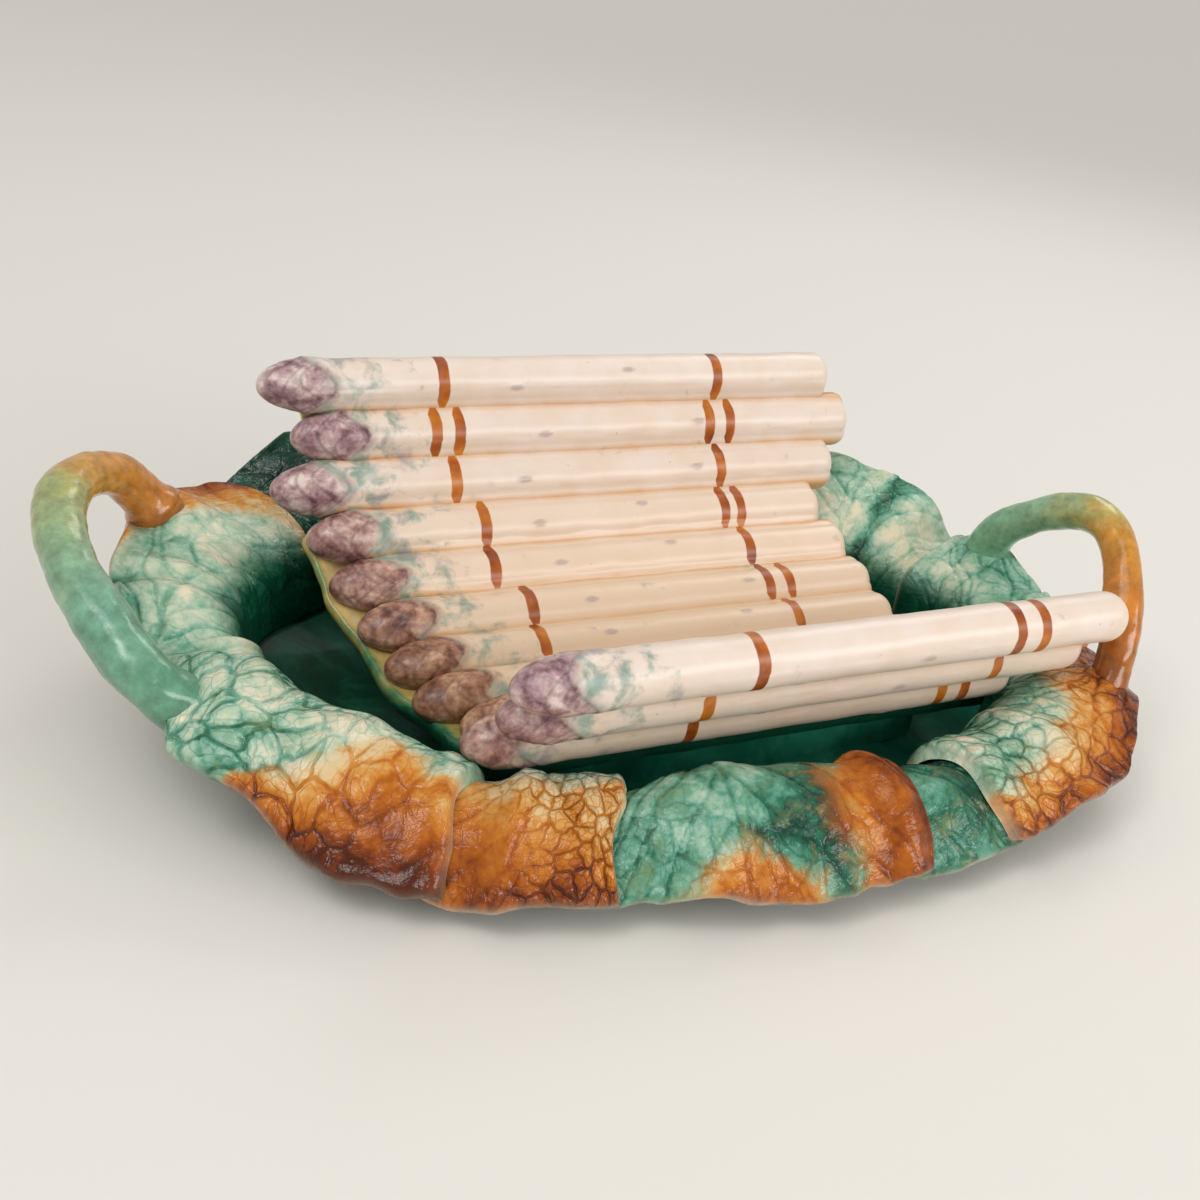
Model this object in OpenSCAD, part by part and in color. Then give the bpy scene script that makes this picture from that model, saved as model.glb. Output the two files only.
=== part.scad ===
// Asparagus plate in majolica: an oval dish built up of leaves, with two branch
// handles and, standing in the dish, a cradle laid with asparagus spears.
// The pieces are the separately formed clay pieces, luted together before firing.
// Origin: on the table, under the centre of the whole outline. +X runs along the
// handles, +Y to the back, +Z up. Lengths are in millimetres, angles in degrees.

/* [Dish] */
// Half length of the dish at the crest of the leaves
crest_a = 164; // [150:1:180]
// Half width of the dish at the crest of the leaves
crest_b = 98; // [90:1:110]
// Height of the highest leaf crest above the table
crest_h = 54; // [48:1:66]
// Furthest reach of a leaf outwards from its crest
leaf_reach = 48; // [36:1:56]
// Height of the highest leaf edge above the table
edge_h = 70; // [56:1:80]
// Clearance of the lowest leaf edge above the table
edge_clear = 4; // [3:0.5:8]
// How far a leaf runs down into the basin from its crest
leaf_drop = 22; // [16:1:28]
// How far the foot of a leaf lies inside its crest
leaf_inset = 10; // [7:0.5:13]
// Thickness of a leaf
leaf_t = 4.5; // [3.5:0.1:6]
// Height that a leaf swells between its neighbours
leaf_swell = 6; // [3:0.5:9]
// Depth of the waves along the leaf edges
ruffle = 2.2; // [0:0.1:3]
// Depth of the midrib furrow of a leaf
rib_depth = 1.2; // [0.4:0.1:2]
// Height of the folds that run out over a leaf
fold_h = 1.6; // [0.5:0.1:2]
// Spacing of those folds round the crest
fold_pitch = 24; // [20:1:34]
// Height of the fullest rolled border of a leaf
roll_h = 4.5; // [1:0.5:6]
// Thickness of the basin's wall
basin_t = 5; // [4:0.5:7]
// Half length of the flat floor of the basin
floor_a = 108; // [96:1:120]
// Half width of the flat floor of the basin
floor_b = 60; // [52:1:68]

/* [Foot ring] */
// Height of the foot ring
foot_h = 5; // [3:0.5:8]
// Width of the foot ring
foot_w = 8; // [6:0.5:12]
// Setback of the foot ring from the edge of the basin's flat underside
foot_set = 3; // [1:0.5:6]

/* [Cradle] */
// Diameter of a spear
spear_d = 20; // [17:0.5:23]
// Spacing of the spears along the cradle's profile
spear_pitch = 19.6; // [17:0.1:22]
// Rise of the spears' centre line over the basin's floor where the cradle is lowest
seat_rise = 24.3; // [20:0.1:30]
// Distance of the cradle's lowest line in front of the middle of the dish
seat_front = 28.4; // [24:0.1:32]
// Lean of the back wall from upright
back_lean = 17.5; // [14:0.5:20]
// Radius of the cradle's back and floor
belly_r = 110; // [104:1:116]
// Turn of the profile where the floor meets the front wall
belly_turn = 100; // [96:1:104]
// Radius of the turn into the front wall
front_r = 23.5; // [20:0.5:30]
// Turn of the profile where the front wall runs straight
front_turn = 149; // [142:1:154]
// Turn of the spears from the long axis of the dish
spear_turn = 10; // [0:1:14]
// Thickness of the cradle's shell under the spears
shell_t = 3.5; // [2.5:0.1:5]
// Setback of the shell's left end from the crest of the leaves, at the fourth spear
left_set = 37; // [35:1:46]
// Setback of the shell's right end from the crest of the leaves, at the fourth spear
right_set = 64; // [58:1:72]
// Slant of the shell's left end across the spears
left_slant = 19; // [8:0.5:20]
// Slant of the shell's right end across the spears
right_slant = 13.5; // [6:0.5:18]
// Setback of the back wall's left edge behind the upper spears' tips
wall_set = 15; // [12:1:24]
// Setback of the plinth under the cradle from the shell's ends
plinth_set = 8; // [6:1:20]
// Half width of the plinth under the cradle
plinth_b = 24; // [18:1:26]
// Length of a spear's tapered tip
tip_l = 24; // [20:1:30]
// Radius of the rounding at a spear's cut end
cut_r = 5; // [2:0.5:7]

/* [Handles] */
// Diameter of the left handle
left_d = 16.5; // [14:0.5:20]
// Diameter of the right handle
right_d = 15; // [12:0.5:18]
// Outward bow of the left handle
left_bow = 28; // [22:1:34]
// Rise of the left handle above its ends
left_rise = 21.5; // [16:0.5:30]
// Outward bow of the right handle
right_bow = 16.5; // [12:0.5:24]
// Rise of the right handle above its ends
right_rise = 35.5; // [28:0.5:40]
// Outward lean of the left handle's flared ends over the leaves
left_lean = 9; // [4:1:12]
// Outward lean of the right handle's flared ends over the leaves
right_lean = -2; // [-3:1:3]

/* [Hidden] */

// Gap left between two pieces that are luted over curved faces
lute_gap = 0.3;
// Gap left under a handle's foot, over the facets of its leaf
seat_gap = 0.5;
// Overrun of every cut
over = 1;
// Step used to measure slopes on the leaf surface
probe = 0.01;
// Where the middle of the dish lies, so that the outline is centred on the origin
middle = [crest_a * 0.0683, crest_b * 0.0133, 0];
// Sides of the round pieces
sides = 48;

// Shapes around the rim, one share for every 30 degrees from +X towards +Y
crest_shares = [0.58, 0.72, 0.88, 0.84, 0.90, 0.83, 0.81, 0.68, 0.56, 0.58, 0.54, 0.55];
reach_shares = [0.59, 0.68, 0.76, 0.64, 0.80, 0.96, 0.66, 0.62, 0.67, 0.46, 0.64, 0.80];
edge_shares = [0.34, 0.62, 0.92, 0.74, 0.88, 0.76, 0.66, 0.36, 0.00, 0.00, 0.00, 0.26];
// Bezier weights of a leaf's section, as shares of its reach and drop
shoulder_share = 0.55;
bend_share = 0.6;
flare_share = 0.35;
rise_share = 0.5;
// Waves along the leaf edges, for the whole way round
waves = 22;
// Share of the section over which a leaf thickens, and its thickness at the foot
merge_share = 0.33;
thin_share = 0.4;
// Half width of a midrib furrow, in degrees round the rim
furrow_turn = 2.4;
// Share of the folds' height reached at a leaf's foot, and the cross folds' height
fold_start_share = 0.35;
cross_share = 0.5;
// How far round the rim a leaf stays smooth about a handle's foot, in degrees
calm_turn = 9;

// Borders between the leaves, in degrees round the rim, and their overlap
leaf_at = [195, 237, 254, 289, 305, 348, 388, 422, 445, 466, 481, 503, 555];
lap_turn = 3;
settle_turn = 9;
// At each border, whether the leaf after it (1) or before it (0) lies on top
next_on_top = [0, 0, 0, 0, 1, 0, 0, 0, 1, 0, 1, 1];
// How full the upper leaf's rolled border is there, and how far out the roll runs
roll_shares = [1.0, 0.4, 0.35, 0.85, 0.5, 0.3, 0.3, 0.3, 0.4, 0.3, 0.3, 0.4];
roll_end_shares = [0.5, 1.2, 1.2, 1.2, 1.2, 0.5, 1.2, 1.2, 1.2, 1.2, 1.2, 1.2];
// Half width of a rolled border, in degrees round the rim, and where it fades out
roll_turn = 3.5;
roll_fade_share = 0.2;
// Upward curl of each leaf's tip, as a share of the swell
curl_shares = [0, 0, 0.3, 0.2, 0.2, 0.3, 1.6, 0.3, 0.6, 0.3, 1.6, 0.4];
leaf_tints = ["#8fb59b", "#b98a45", "#7fae94", "#4c8a6a", "#8db28f", "#9bb7a0",
    "#86ad95", "#6b9a80", "#7aa58c", "#5f9076", "#35614a", "#a4bfae"];
// Rows of a leaf's surface, and the degrees round the rim that a column takes
rows = 11;
col_turn = 2.2;
// Share of a leaf's reach lost at its two sides, and its scallops
side_share = 0.12;
scallop_share = 0.03;
scallops = 5;

// Where round the rim and how far out the handles' ends stand, and their swell
left_ends = [516, 205];
right_ends = [383, 337];
stand_share = 0.78;
flare_foot_share = 1.12;
collar_share = 1.16;
collar_rise_share = 0.6;
// Where along a handle its bow and its rise are greatest, and how its
// thickness changes from its first end to its second
left_skew_shares = [0.86, 0.64];
right_skew_shares = [1, 0.98];
left_girth_shares = [0.96, 1.14];
right_girth_shares = [1.08, 0.98];
// Share of a handle taken by its collar, and the knobs along the branch
collar_run_share = 0.08;
knob_share = 0.06;
knobs = 3;
hand_rings = 16;
hand_sides = 12;

// Cradle: how far the spears run past the shell's slanted ends, at their tips
// and at their cut ends, as shares of a tip's length
spears = 12;
tip_shares = [-0.06, -0.44, 0.10, -0.17, -0.17, -0.18, -0.12, -0.02, -0.18, 0.38, 0.26, 0.46];
end_shares = [0.87, 1.24, 0.70, 0.08, 0.22, 0.22, 0.04, 0.05, 0.06, 0.15, 0.92, 1.14];
// The cradle's lowest line and the shell's two rims, in spears from the topmost one
seat_share = 7.36;
shell_first_share = 0.35;
shell_last_share = 8.8;
spear_r = spear_d / 2;
floor_z = foot_h + basin_t;
rim_share = 0.46;

function mix(a, b, f) = a + (b - a) * f;
function clamp01(f) = min(1, max(0, f));
function ease(f) = let (g = clamp01(f)) g * g * (3 - 2 * g);
function unit(v) = v / norm(v);
function wrap(i, n) = (i % n + n) % n;

// Smooth closed curve through a table of shares spaced evenly round the rim
function around(tab, ang) =
    let (n = len(tab), s = ang / 360 * n, i = floor(s), f = s - i,
         a = tab[wrap(i - 1, n)], b = tab[wrap(i, n)], c = tab[wrap(i + 1, n)], d = tab[wrap(i + 2, n)])
    b + (c - a) * f / 2 + (2 * a - 5 * b + 4 * c - d) * f * f / 2 + (3 * b - a - 3 * c + d) * f * f * f / 2;

function bezier(p, t) = pow(1 - t, 3) * p[0] + 3 * pow(1 - t, 2) * t * p[1]
    + 3 * (1 - t) * t * t * p[2] + t * t * t * p[3];

function on_oval(a, b, out, z, ang) = middle + [(a + out) * cos(ang), (b + out) * sin(ang), z];

// The rim's surface: t runs from the foot of the leaves (0) over the crest to
// their outer edge (1)
function rim_out(ang, t) =
    let (reach = leaf_reach * around(reach_shares, ang))
    bezier([-leaf_inset, -leaf_inset * shoulder_share, reach * bend_share, reach], t);
function rim_up(ang, t) =
    let (top = crest_h * around(crest_shares, ang),
         edge = edge_clear + ruffle + (edge_h - edge_clear - ruffle) * max(0, around(edge_shares, ang)),
         lift = leaf_drop * rise_share)
    bezier([top - leaf_drop, top + lift, top + lift * rise_share + flare_share * max(0, edge - top), edge],
        t)
    + ruffle * pow(t, 3) * sin(ang * waves);
function rim(ang, t) = on_oval(crest_a, crest_b, rim_out(ang, t), rim_up(ang, t), ang);
function rim_normal(ang, t) =
    unit(cross(rim(ang + probe, t) - rim(ang - probe, t), rim(ang, t + probe) - rim(ang, t - probe)));
function over_rim(ang, t, h) = rim(ang, t) - rim_normal(ang, t) * h;

// Thickness of the leaves, thinner at the foot where they merge into the basin
function leaf_thick(t) = leaf_t * mix(thin_share, 1, ease(t / merge_share));
// A leaf that lies on top at a border is lifted there by its neighbour's
// thickness, and settles and swells away from both its borders
function leaf_from(i) = leaf_at[i] - lap_turn;
function leaf_to(i) = leaf_at[i + 1] + lap_turn;
function lift_at(border, side) = next_on_top[border % len(next_on_top)] == side ? 1 : 0;
function swell(i, ang, t) =
    let (near = ang - leaf_from(i), far = leaf_to(i) - ang,
         lift = lift_at(i, 1) * (1 - ease((near - 2 * lap_turn) / settle_turn))
            + lift_at(i + 1, 0) * (1 - ease((far - 2 * lap_turn) / settle_turn)),
         free = ease((min(near, far) - 2 * lap_turn) / settle_turn))
    (leaf_thick(t) + lute_gap) * min(1, lift)
    + free * leaf_swell * (ease(t / merge_share) + curl_shares[i] * pow(t, 3));
function furrow(i, ang) =
    let (mid = (leaf_from(i) + leaf_to(i)) / 2) rib_depth * max(0, 1 - abs(ang - mid) / furrow_turn);

// Folds: waves that run outwards over a leaf and grow towards its edge, with a
// slower wave across them. They die away at its borders and by a handle's foot
function leaf_wide(i) = (leaf_to(i) - leaf_from(i)) * PI / 180 * (crest_a + crest_b) / 2;
function folds(i) = max(1, round(leaf_wide(i) / fold_pitch));
function calm(i, ang) =
    min([for (e = [[11, left_ends[0]], [0, left_ends[1]], [5, right_ends[0]], [4, right_ends[1]]])
        i == e[0] ? ease(abs(ang - e[1]) / calm_turn - 1) : 1]);
function fold(i, ang, t) =
    let (u = (ang - leaf_from(i)) / (leaf_to(i) - leaf_from(i)),
         free = ease((min(ang - leaf_from(i), leaf_to(i) - ang) - 2 * lap_turn) / settle_turn))
    fold_h * free * ease(t / merge_share) * calm(i, ang) * (
        mix(fold_start_share, 1, t) * sin(360 * folds(i) * u + 60 * i + 90 * t)
        + cross_share * sin(430 * t + 137 * i + 180 * u));
// Rolled borders, on the leaf that lies on top at each border
function bump(x) = pow(max(0, 1 - pow(x / roll_turn - 1, 2)), 2);
function roll_at(border, side, x, t) =
    let (b = border % len(roll_shares), past = (t - roll_end_shares[b]) / roll_fade_share)
    lift_at(border, side) * roll_h * roll_shares[b] * bump(x) * (1 - ease(past + 0.5));
function roll(i, ang, t) = ease(t / merge_share)
    * (roll_at(i, 1, ang - leaf_from(i), t) + roll_at(i + 1, 0, leaf_to(i) - ang, t));
function leaf_low(i, ang, t) = over_rim(ang, t, swell(i, ang, t) + fold(i, ang, t));
function leaf_top(i, ang, t) = over_rim(ang, t, swell(i, ang, t) + fold(i, ang, t) + roll(i, ang, t)
    + leaf_thick(t) - furrow(i, ang) * ease(t / merge_share));

// Where a leaf ends: full reach in its middle, less at its sides, scalloped
function leaf_end(u) = 1 - side_share * pow(abs(u), 2.5) - scallop_share * pow(cos(u * 90 * scallops), 2);
function cols(i) = 2 * round((leaf_to(i) - leaf_from(i)) / col_turn / 2);
function leaf_point(i, c, r, top) =
    let (f = c / cols(i), u = 2 * f - 1, ang = mix(leaf_from(i), leaf_to(i), f), t = leaf_end(u) * r / rows)
    top ? leaf_top(i, ang, t) : leaf_low(i, ang, t);

// Faces of a sheet of two skins, each a grid of (nc + 1) by (nr + 1) points
function sheet_faces(nc, nr) =
    let (w = nr + 1, n = (nc + 1) * w)
    concat(
        [for (c = [0:nc - 1], r = [0:nr - 1]) let (k = c * w + r) each
            [[k, k + 1, k + w + 1], [k, k + w + 1, k + w]]],
        [for (c = [0:nc - 1], r = [0:nr - 1]) let (k = n + c * w + r) each
            [[k, k + w + 1, k + 1], [k, k + w, k + w + 1]]],
        [for (c = [0:nc - 1], e = [0, 1]) let (k = c * w + e * nr, m = k + w, s = e == 0) each
            [s ? [k, m, m + n] : [k, m + n, m], s ? [k, m + n, k + n] : [k, k + n, m + n]]],
        [for (r = [0:nr - 1], e = [0, 1]) let (k = e * nc * w + r, m = k + 1, s = e == 0) each
            [s ? [k, m + n, m] : [k, m, m + n], s ? [k, k + n, m + n] : [k, m + n, k + n]]]);

module leaf(i) {
    color(leaf_tints[i])
        polyhedron(
            points = [for (top = [false, true], c = [0:cols(i)], r = [0:rows]) leaf_point(i, c, r, top)],
            faces = sheet_faces(cols(i), rows), convexity = 6);
}

// Faces of a closed run of rings, all with n points, capped by fans at both ends
function ring_faces(rings, n, first, last) = concat(
    [for (k = [0:rings - 2], j = [0:n - 1]) let (a = k * n + j, b = k * n + (j + 1) % n) each
        [[a, b, b + n], [a, b + n, a + n]]],
    [for (j = [0:n - 1]) [first, (j + 1) % n, j]],
    [for (j = [0:n - 1]) let (m = (rings - 1) * n) [last, m + j, m + (j + 1) % n]]);

// Basin: a flat floor, a wall that curves up under the leaves, and back down
module basin() {
    steps = 60;
    stations = 5;
    hang = basin_t + lute_gap;
    inside = [for (k = [0:stations]) [k / stations * rim_share, -lute_gap]];
    outside = [for (k = [stations:-1:0]) [k / stations * rim_share, -hang]];
    turns = [for (j = [0:steps - 1]) j * 360 / steps];
    rings = concat(
        [[for (a = turns) on_oval(floor_a, floor_b, 0, floor_z, a)]],
        [[for (a = turns) (over_rim(a, 0, -lute_gap) + on_oval(floor_a, floor_b, 0, floor_z, a)) / 2
            - [0, 0, basin_t / 2]]],
        [for (s = concat(inside, outside)) [for (a = turns) over_rim(a, s[0], s[1])]],
        [[for (a = turns) (over_rim(a, 0, -hang) + on_oval(floor_a, floor_b, basin_t, foot_h, a)) / 2
            - [0, 0, basin_t / 2]]],
        [[for (a = turns) on_oval(floor_a, floor_b, basin_t, foot_h, a)]]);
    flat = [for (ring = rings) each ring];
    color("#12402c")
        polyhedron(points = concat(flat, [middle + [0, 0, floor_z], middle + [0, 0, foot_h]]),
            faces = ring_faces(len(rings), steps, len(flat), len(flat) + 1), convexity = 6);
}

module oval(a, b) {
    polygon([for (j = [0:sides - 1]) let (t = j * 360 / sides) [a * cos(t), b * sin(t)]]);
}

module foot_ring() {
    out = basin_t - foot_set;
    color("#d8cdb4")
        translate(middle)
            linear_extrude(foot_h)
                difference() {
                    oval(floor_a + out, floor_b + out);
                    oval(floor_a + out - foot_w, floor_b + out - foot_w);
                }
}

// Handles: a branch swept from a flared foot on one leaf to one on another
function hand_seat(i, ang) = leaf_top(i, ang, stand_share);
function seat_round(i, ang) = (leaf_top(i, ang + 1, stand_share) - leaf_top(i, ang - 1, stand_share)) / 2;
function seat_out(i, ang) = (leaf_top(i, ang, stand_share + probe) - leaf_top(i, ang, stand_share - probe))
    / (2 * probe);
function seat_up(i, ang) = unit(cross(seat_out(i, ang), seat_round(i, ang)));
function hand_collar(i, ang, d, lean) = hand_seat(i, ang) + lean * [cos(ang), sin(ang), 0]
    + seat_up(i, ang) * d * collar_rise_share;
function hand_path(p, q, side, bow, rise, skews, w) =
    mix(p, q, w) + [side * bow * sin(180 * pow(w, skews[0])), 0, rise * sin(180 * pow(w, skews[1]))];
// A point of a handle's foot, laid on the leaf's own surface
function foot_point(i, ang, v) =
    let (ea = seat_round(i, ang), et = seat_out(i, ang))
    leaf_top(i, ang + v * ea / (ea * ea), stand_share + v * et / (et * et)) + seat_up(i, ang) * seat_gap;
function branch_wave(w) = 1 + knob_share * sin(w * 360 * knobs);

module branch(i, j, ends, side, bow, rise, skews, girths, lean, d) {
    p = hand_collar(i, ends[0], d, lean);
    q = hand_collar(j, ends[1], d, lean);
    flank = unit(cross(q - p, [side * bow, 0, rise]));
    turns = [for (k = [0:hand_sides - 1]) -k * 360 / hand_sides];
    ws = [for (k = [0:hand_rings]) k / hand_rings];
    function along(w) = unit(hand_path(p, q, side, bow, rise, skews, min(1, w + probe))
        - hand_path(p, q, side, bow, rise, skews, max(0, w - probe)));
    function spoke(w, a, r) = let (up = cross(along(w), flank)) (flank * cos(a) + up * sin(a)) * r;
    function girth(w) = d / 2 * mix(girths[0], girths[1], w) * branch_wave(w)
        * mix(collar_share, 1, ease(min(w, 1 - w) / collar_run_share));
    foot_r = d / 2 * flare_foot_share;
    rings = concat(
        [[for (a = turns) foot_point(i, ends[0], spoke(0, a, foot_r))]],
        [for (w = ws) [for (a = turns) hand_path(p, q, side, bow, rise, skews, w) + spoke(w, a, girth(w))]],
        [[for (a = turns) foot_point(j, ends[1], spoke(1, a, foot_r))]]);
    flat = [for (ring = rings) each ring];
    polyhedron(
        points = concat(flat, [foot_point(i, ends[0], [0, 0, 0]), foot_point(j, ends[1], [0, 0, 0])]),
        faces = ring_faces(len(rings), hand_sides, len(flat), len(flat) + 1), convexity = 4);
}

module handle_left() {
    color("#b7782f")
        branch(11, 0, left_ends, -1, left_bow, left_rise, left_skew_shares, left_girth_shares,
            left_lean, left_d);
}

module handle_right() {
    color("#7b9a4e")
        branch(5, 4, right_ends, 1, right_bow, right_rise, right_skew_shares, right_girth_shares,
            right_lean, right_d);
}

// Profile of the cradle, seen from its end: s is the length run from its lowest
// line, below zero up the back and above zero across the floor and up the front
back_arc = belly_r * (90 - back_lean) * PI / 180;
floor_arc = belly_r * (belly_turn - 90) * PI / 180;
front_arc = front_r * (front_turn - belly_turn) * PI / 180;
belly_mid = [-seat_front, floor_z + seat_rise + belly_r];
front_mid = belly_mid + (belly_r - front_r) * [cos(belly_turn), -sin(belly_turn)];
function turn_at(s) =
    s < -back_arc ? back_lean :
    s < floor_arc ? 90 + s / belly_r * 180 / PI :
    s < floor_arc + front_arc ? belly_turn + (s - floor_arc) / front_r * 180 / PI :
    front_turn;
function profile(s) =
    let (turn = turn_at(s), out = [cos(turn), -sin(turn)], down = -[sin(turn), cos(turn)])
    s < -back_arc ? belly_mid + belly_r * out + (s + back_arc) * down :
    s < floor_arc ? belly_mid + belly_r * out :
    front_mid + front_r * out + max(0, s - floor_arc - front_arc) * down;
// The same line moved outwards, away from the asparagus
function outside(s, h) = profile(s) + h * [cos(turn_at(s)), -sin(turn_at(s))];
function spear_at(i) = profile((i - seat_share) * spear_pitch);

// Both ends of the cradle lie nearly square to the dish, across the turned spears
slant_from = spear_at(3)[0];
function left_end(y) = (slant_from - y) * tan(left_slant) - crest_a + left_set;
function right_end(y) = (slant_from - y) * tan(right_slant) + crest_a - right_set;
function wall_end(y) = left_end(y) + wall_set * ease((y - slant_from) / spear_r);

module turned() {
    translate(middle) rotate([0, 0, spear_turn]) children();
}

// Extrudes an outline drawn in the cradle's profile plane, past both its ends
module along_spears(beyond = 0) {
    translate([-2 * crest_a - beyond, 0, 0])
        rotate([90, 0, 90]) linear_extrude(4 * crest_a + 2 * beyond) children();
}

// Everything between the two slanted ends of the cradle
module between_ends() {
    far = 2 * spear_at(0)[0];
    step = spear_r / 4;
    linear_extrude(spear_at(0)[1] + spear_d)
        polygon(concat(
            [for (y = [far:-step:slant_from]) [wall_end(y), y]],
            [[left_end(-far), -far], [right_end(-far), -far], [right_end(far), far]]));
}

// The shell's section, h outside the spears' centre lines
shell_steps = 34;
web_share = 0.42;
function shell_line(h) = [for (k = [0:shell_steps])
    outside((mix(shell_first_share, shell_last_share, k / shell_steps) - seat_share) * spear_pitch, h)];
function backwards(list) = [for (k = [len(list) - 1:-1:0]) list[k]];

module cradle_shell() {
    color("#c9c27a")
        turned()
            difference() {
                intersection() {
                    along_spears()
                        polygon(concat(
                            shell_line(spear_r * web_share), backwards(shell_line(spear_r + shell_t))));
                    between_ends();
                }
                for (i = [0:spears - 1])
                    along_spears(over)
                        translate(spear_at(i)) circle(spear_r + lute_gap, $fn = sides);
            }
}

module cradle_plinth() {
    under = shell_line(spear_r + shell_t);
    from = left_end(-seat_front) + plinth_set;
    to = right_end(-seat_front) - plinth_set;
    roof = spear_at(0)[1] * [0, 1];
    color("#1d5a3f")
        turned()
            difference() {
                translate([(from + to) / 2, -seat_front, floor_z])
                    linear_extrude(seat_rise)
                        hull()
                            for (side = [-1, 1])
                                translate([side * ((to - from) / 2 - plinth_b), 0])
                                    circle(plinth_b, $fn = sides);
                along_spears()
                    polygon(concat(under, [under[shell_steps] + roof, under[0] + roof]));
            }
}

// Half outline of a spear on its own axis: a blunt tip with stepped scales, a
// straight stem and a cut end with a rounded edge
scale_steps = 3;
scale_share = 0.04;
blunt = 2.3;
tip_rows = 12;
cut_rows = 4;
function tip_radius(f) =
    sqrt(1 - pow(1 - f, blunt)) * (1 + scale_share * (1 - f) * sin(f * 360 * scale_steps));
module spear_outline(len) {
    polygon(concat(
        [for (k = [0:tip_rows]) let (f = pow(k / tip_rows, 3 / 2)) [spear_r * tip_radius(f), tip_l * f]],
        [for (k = [0:cut_rows]) let (a = k / cut_rows * 90)
            [spear_r - cut_r * (1 - cos(a)), len - cut_r * (1 - sin(a))]],
        [[0, len]]));
}

// The flat where a spear is pressed against its neighbour in the row
module pressed_flat(from, to, len) {
    d = to - from;
    rotate([0, 0, atan2(d[1], d[0])])
        translate([norm(d) / 2, -spear_d, -over])
            cube([spear_d, 2 * spear_d, len + 2 * over]);
}

module spear(i) {
    at = spear_at(i);
    from = left_end(at[0]) - tip_shares[i] * tip_l;
    len = right_end(at[0]) + end_shares[i] * tip_l - from;
    color(i > 3 && i < 9 ? "#e2cf9b" : "#efe3cd")
        turned()
            translate([from, at[0], at[1]])
                rotate([90, 0, 90])
                    difference() {
                        rotate_extrude($fn = sides) spear_outline(len);
                        if (i > 0) pressed_flat(at, spear_at(i - 1), len);
                        if (i < spears - 1) pressed_flat(at, spear_at(i + 1), len);
                    }
}

basin();
foot_ring();
leaf(0);  // leaf_front_left
leaf(1);  // leaf_front_left_inner
leaf(2);  // leaf_front
leaf(3);  // leaf_front_right_inner
leaf(4);  // leaf_front_right
leaf(5);  // leaf_right
leaf(6);  // leaf_back_right
leaf(7);  // leaf_back_right_inner
leaf(8);  // leaf_back
leaf(9);  // leaf_back_left_inner
leaf(10);  // leaf_back_left
leaf(11);  // leaf_left
handle_left();
handle_right();
cradle_shell();
cradle_plinth();
spear(0);  // spear_01
spear(1);  // spear_02
spear(2);  // spear_03
spear(3);  // spear_04
spear(4);  // spear_05
spear(5);  // spear_06
spear(6);  // spear_07
spear(7);  // spear_08
spear(8);  // spear_09
spear(9);  // spear_10
spear(10);  // spear_11
spear(11);  // spear_12
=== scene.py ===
# %% [markdown]
# # An asparagus plate in majolica
# Majolica is earthenware dipped in thick, coloured lead glazes. The glaze runs off
# the high places and pools in the low ones, so relief and colour always go together.
# The solids of the CAD model are the fixed frame: every piece made here lies on them,
# in metres, and only adds what clay and glaze add, which is relief, soft edges and colour.

# %% The frame
import math

import bmesh
import bpy
import numpy as np
from mathutils import Matrix, Vector


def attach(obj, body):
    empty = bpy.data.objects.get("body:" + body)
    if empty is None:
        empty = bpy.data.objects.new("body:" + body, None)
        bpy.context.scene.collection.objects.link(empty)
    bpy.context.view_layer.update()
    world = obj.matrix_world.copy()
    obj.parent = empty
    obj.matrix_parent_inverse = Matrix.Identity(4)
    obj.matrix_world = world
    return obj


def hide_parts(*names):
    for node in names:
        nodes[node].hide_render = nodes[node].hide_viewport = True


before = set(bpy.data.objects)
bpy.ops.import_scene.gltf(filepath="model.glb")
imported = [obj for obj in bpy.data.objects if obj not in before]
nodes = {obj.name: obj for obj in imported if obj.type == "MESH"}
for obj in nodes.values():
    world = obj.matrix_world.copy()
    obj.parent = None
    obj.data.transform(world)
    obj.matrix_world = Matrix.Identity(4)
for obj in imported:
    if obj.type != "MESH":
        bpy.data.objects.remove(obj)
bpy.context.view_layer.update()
MM = 0.001


def placed(name, data):
    """A new object in the scene, with this mesh, camera or light."""
    made = bpy.data.objects.new(name, data)
    bpy.context.scene.collection.objects.link(made)
    return made


# %% [markdown]
# The photograph fixes where the camera stands: the parallel edges of the asparagus and
# the known diameter of a spear give its place, its turn and its lens. It is made first, so
# that every later piece can be looked at from there.

# %% Camera
# The cradle lies turned in the dish, and the dish's middle lies off the origin by small
# shares of its half length and half width
TURN = math.radians(10)
MIDDLE = np.array([164 * 0.0683, 98 * 0.0133, 0.0])
# The camera's own axes, and where it stands
camera_place = (np.array([-170.4, -433.2, 288.0]) + MIDDLE) * MM


def turned(v, angle=TURN):
    """A vector of the cradle's frame, turned into the dish's frame."""
    c, s = math.cos(angle), math.sin(angle)
    v = np.asarray(v, float)
    return np.stack([v[..., 0] * c - v[..., 1] * s, v[..., 0] * s + v[..., 1] * c, v[..., 2]], -1)


right = turned([0.8976, -0.4208, 0.1317])
forward = turned([0.4320, 0.7793, -0.4540])
right /= np.linalg.norm(right)
forward -= right * (forward @ right)
forward /= np.linalg.norm(forward)
up = np.cross(right, forward)

camera_data = bpy.data.cameras.new("camera")
camera_data.sensor_width = 36
camera_data.lens = 40.5
camera = placed("camera", camera_data)
camera.matrix_world = Matrix([(right[k], up[k], -forward[k], camera_place[k]) for k in range(3)]
                             + [(0, 0, 0, 1)])
bpy.context.scene.camera = camera
print("camera at", [round(float(v), 3) for v in camera_place], "lens", camera_data.lens)

# %% [markdown]
# A few small helpers come before the pieces: colours are written as they look on a
# screen (sRGB) and turned to the linear values that a renderer works in, and one
# function adds any node with its settings and its links.

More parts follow.
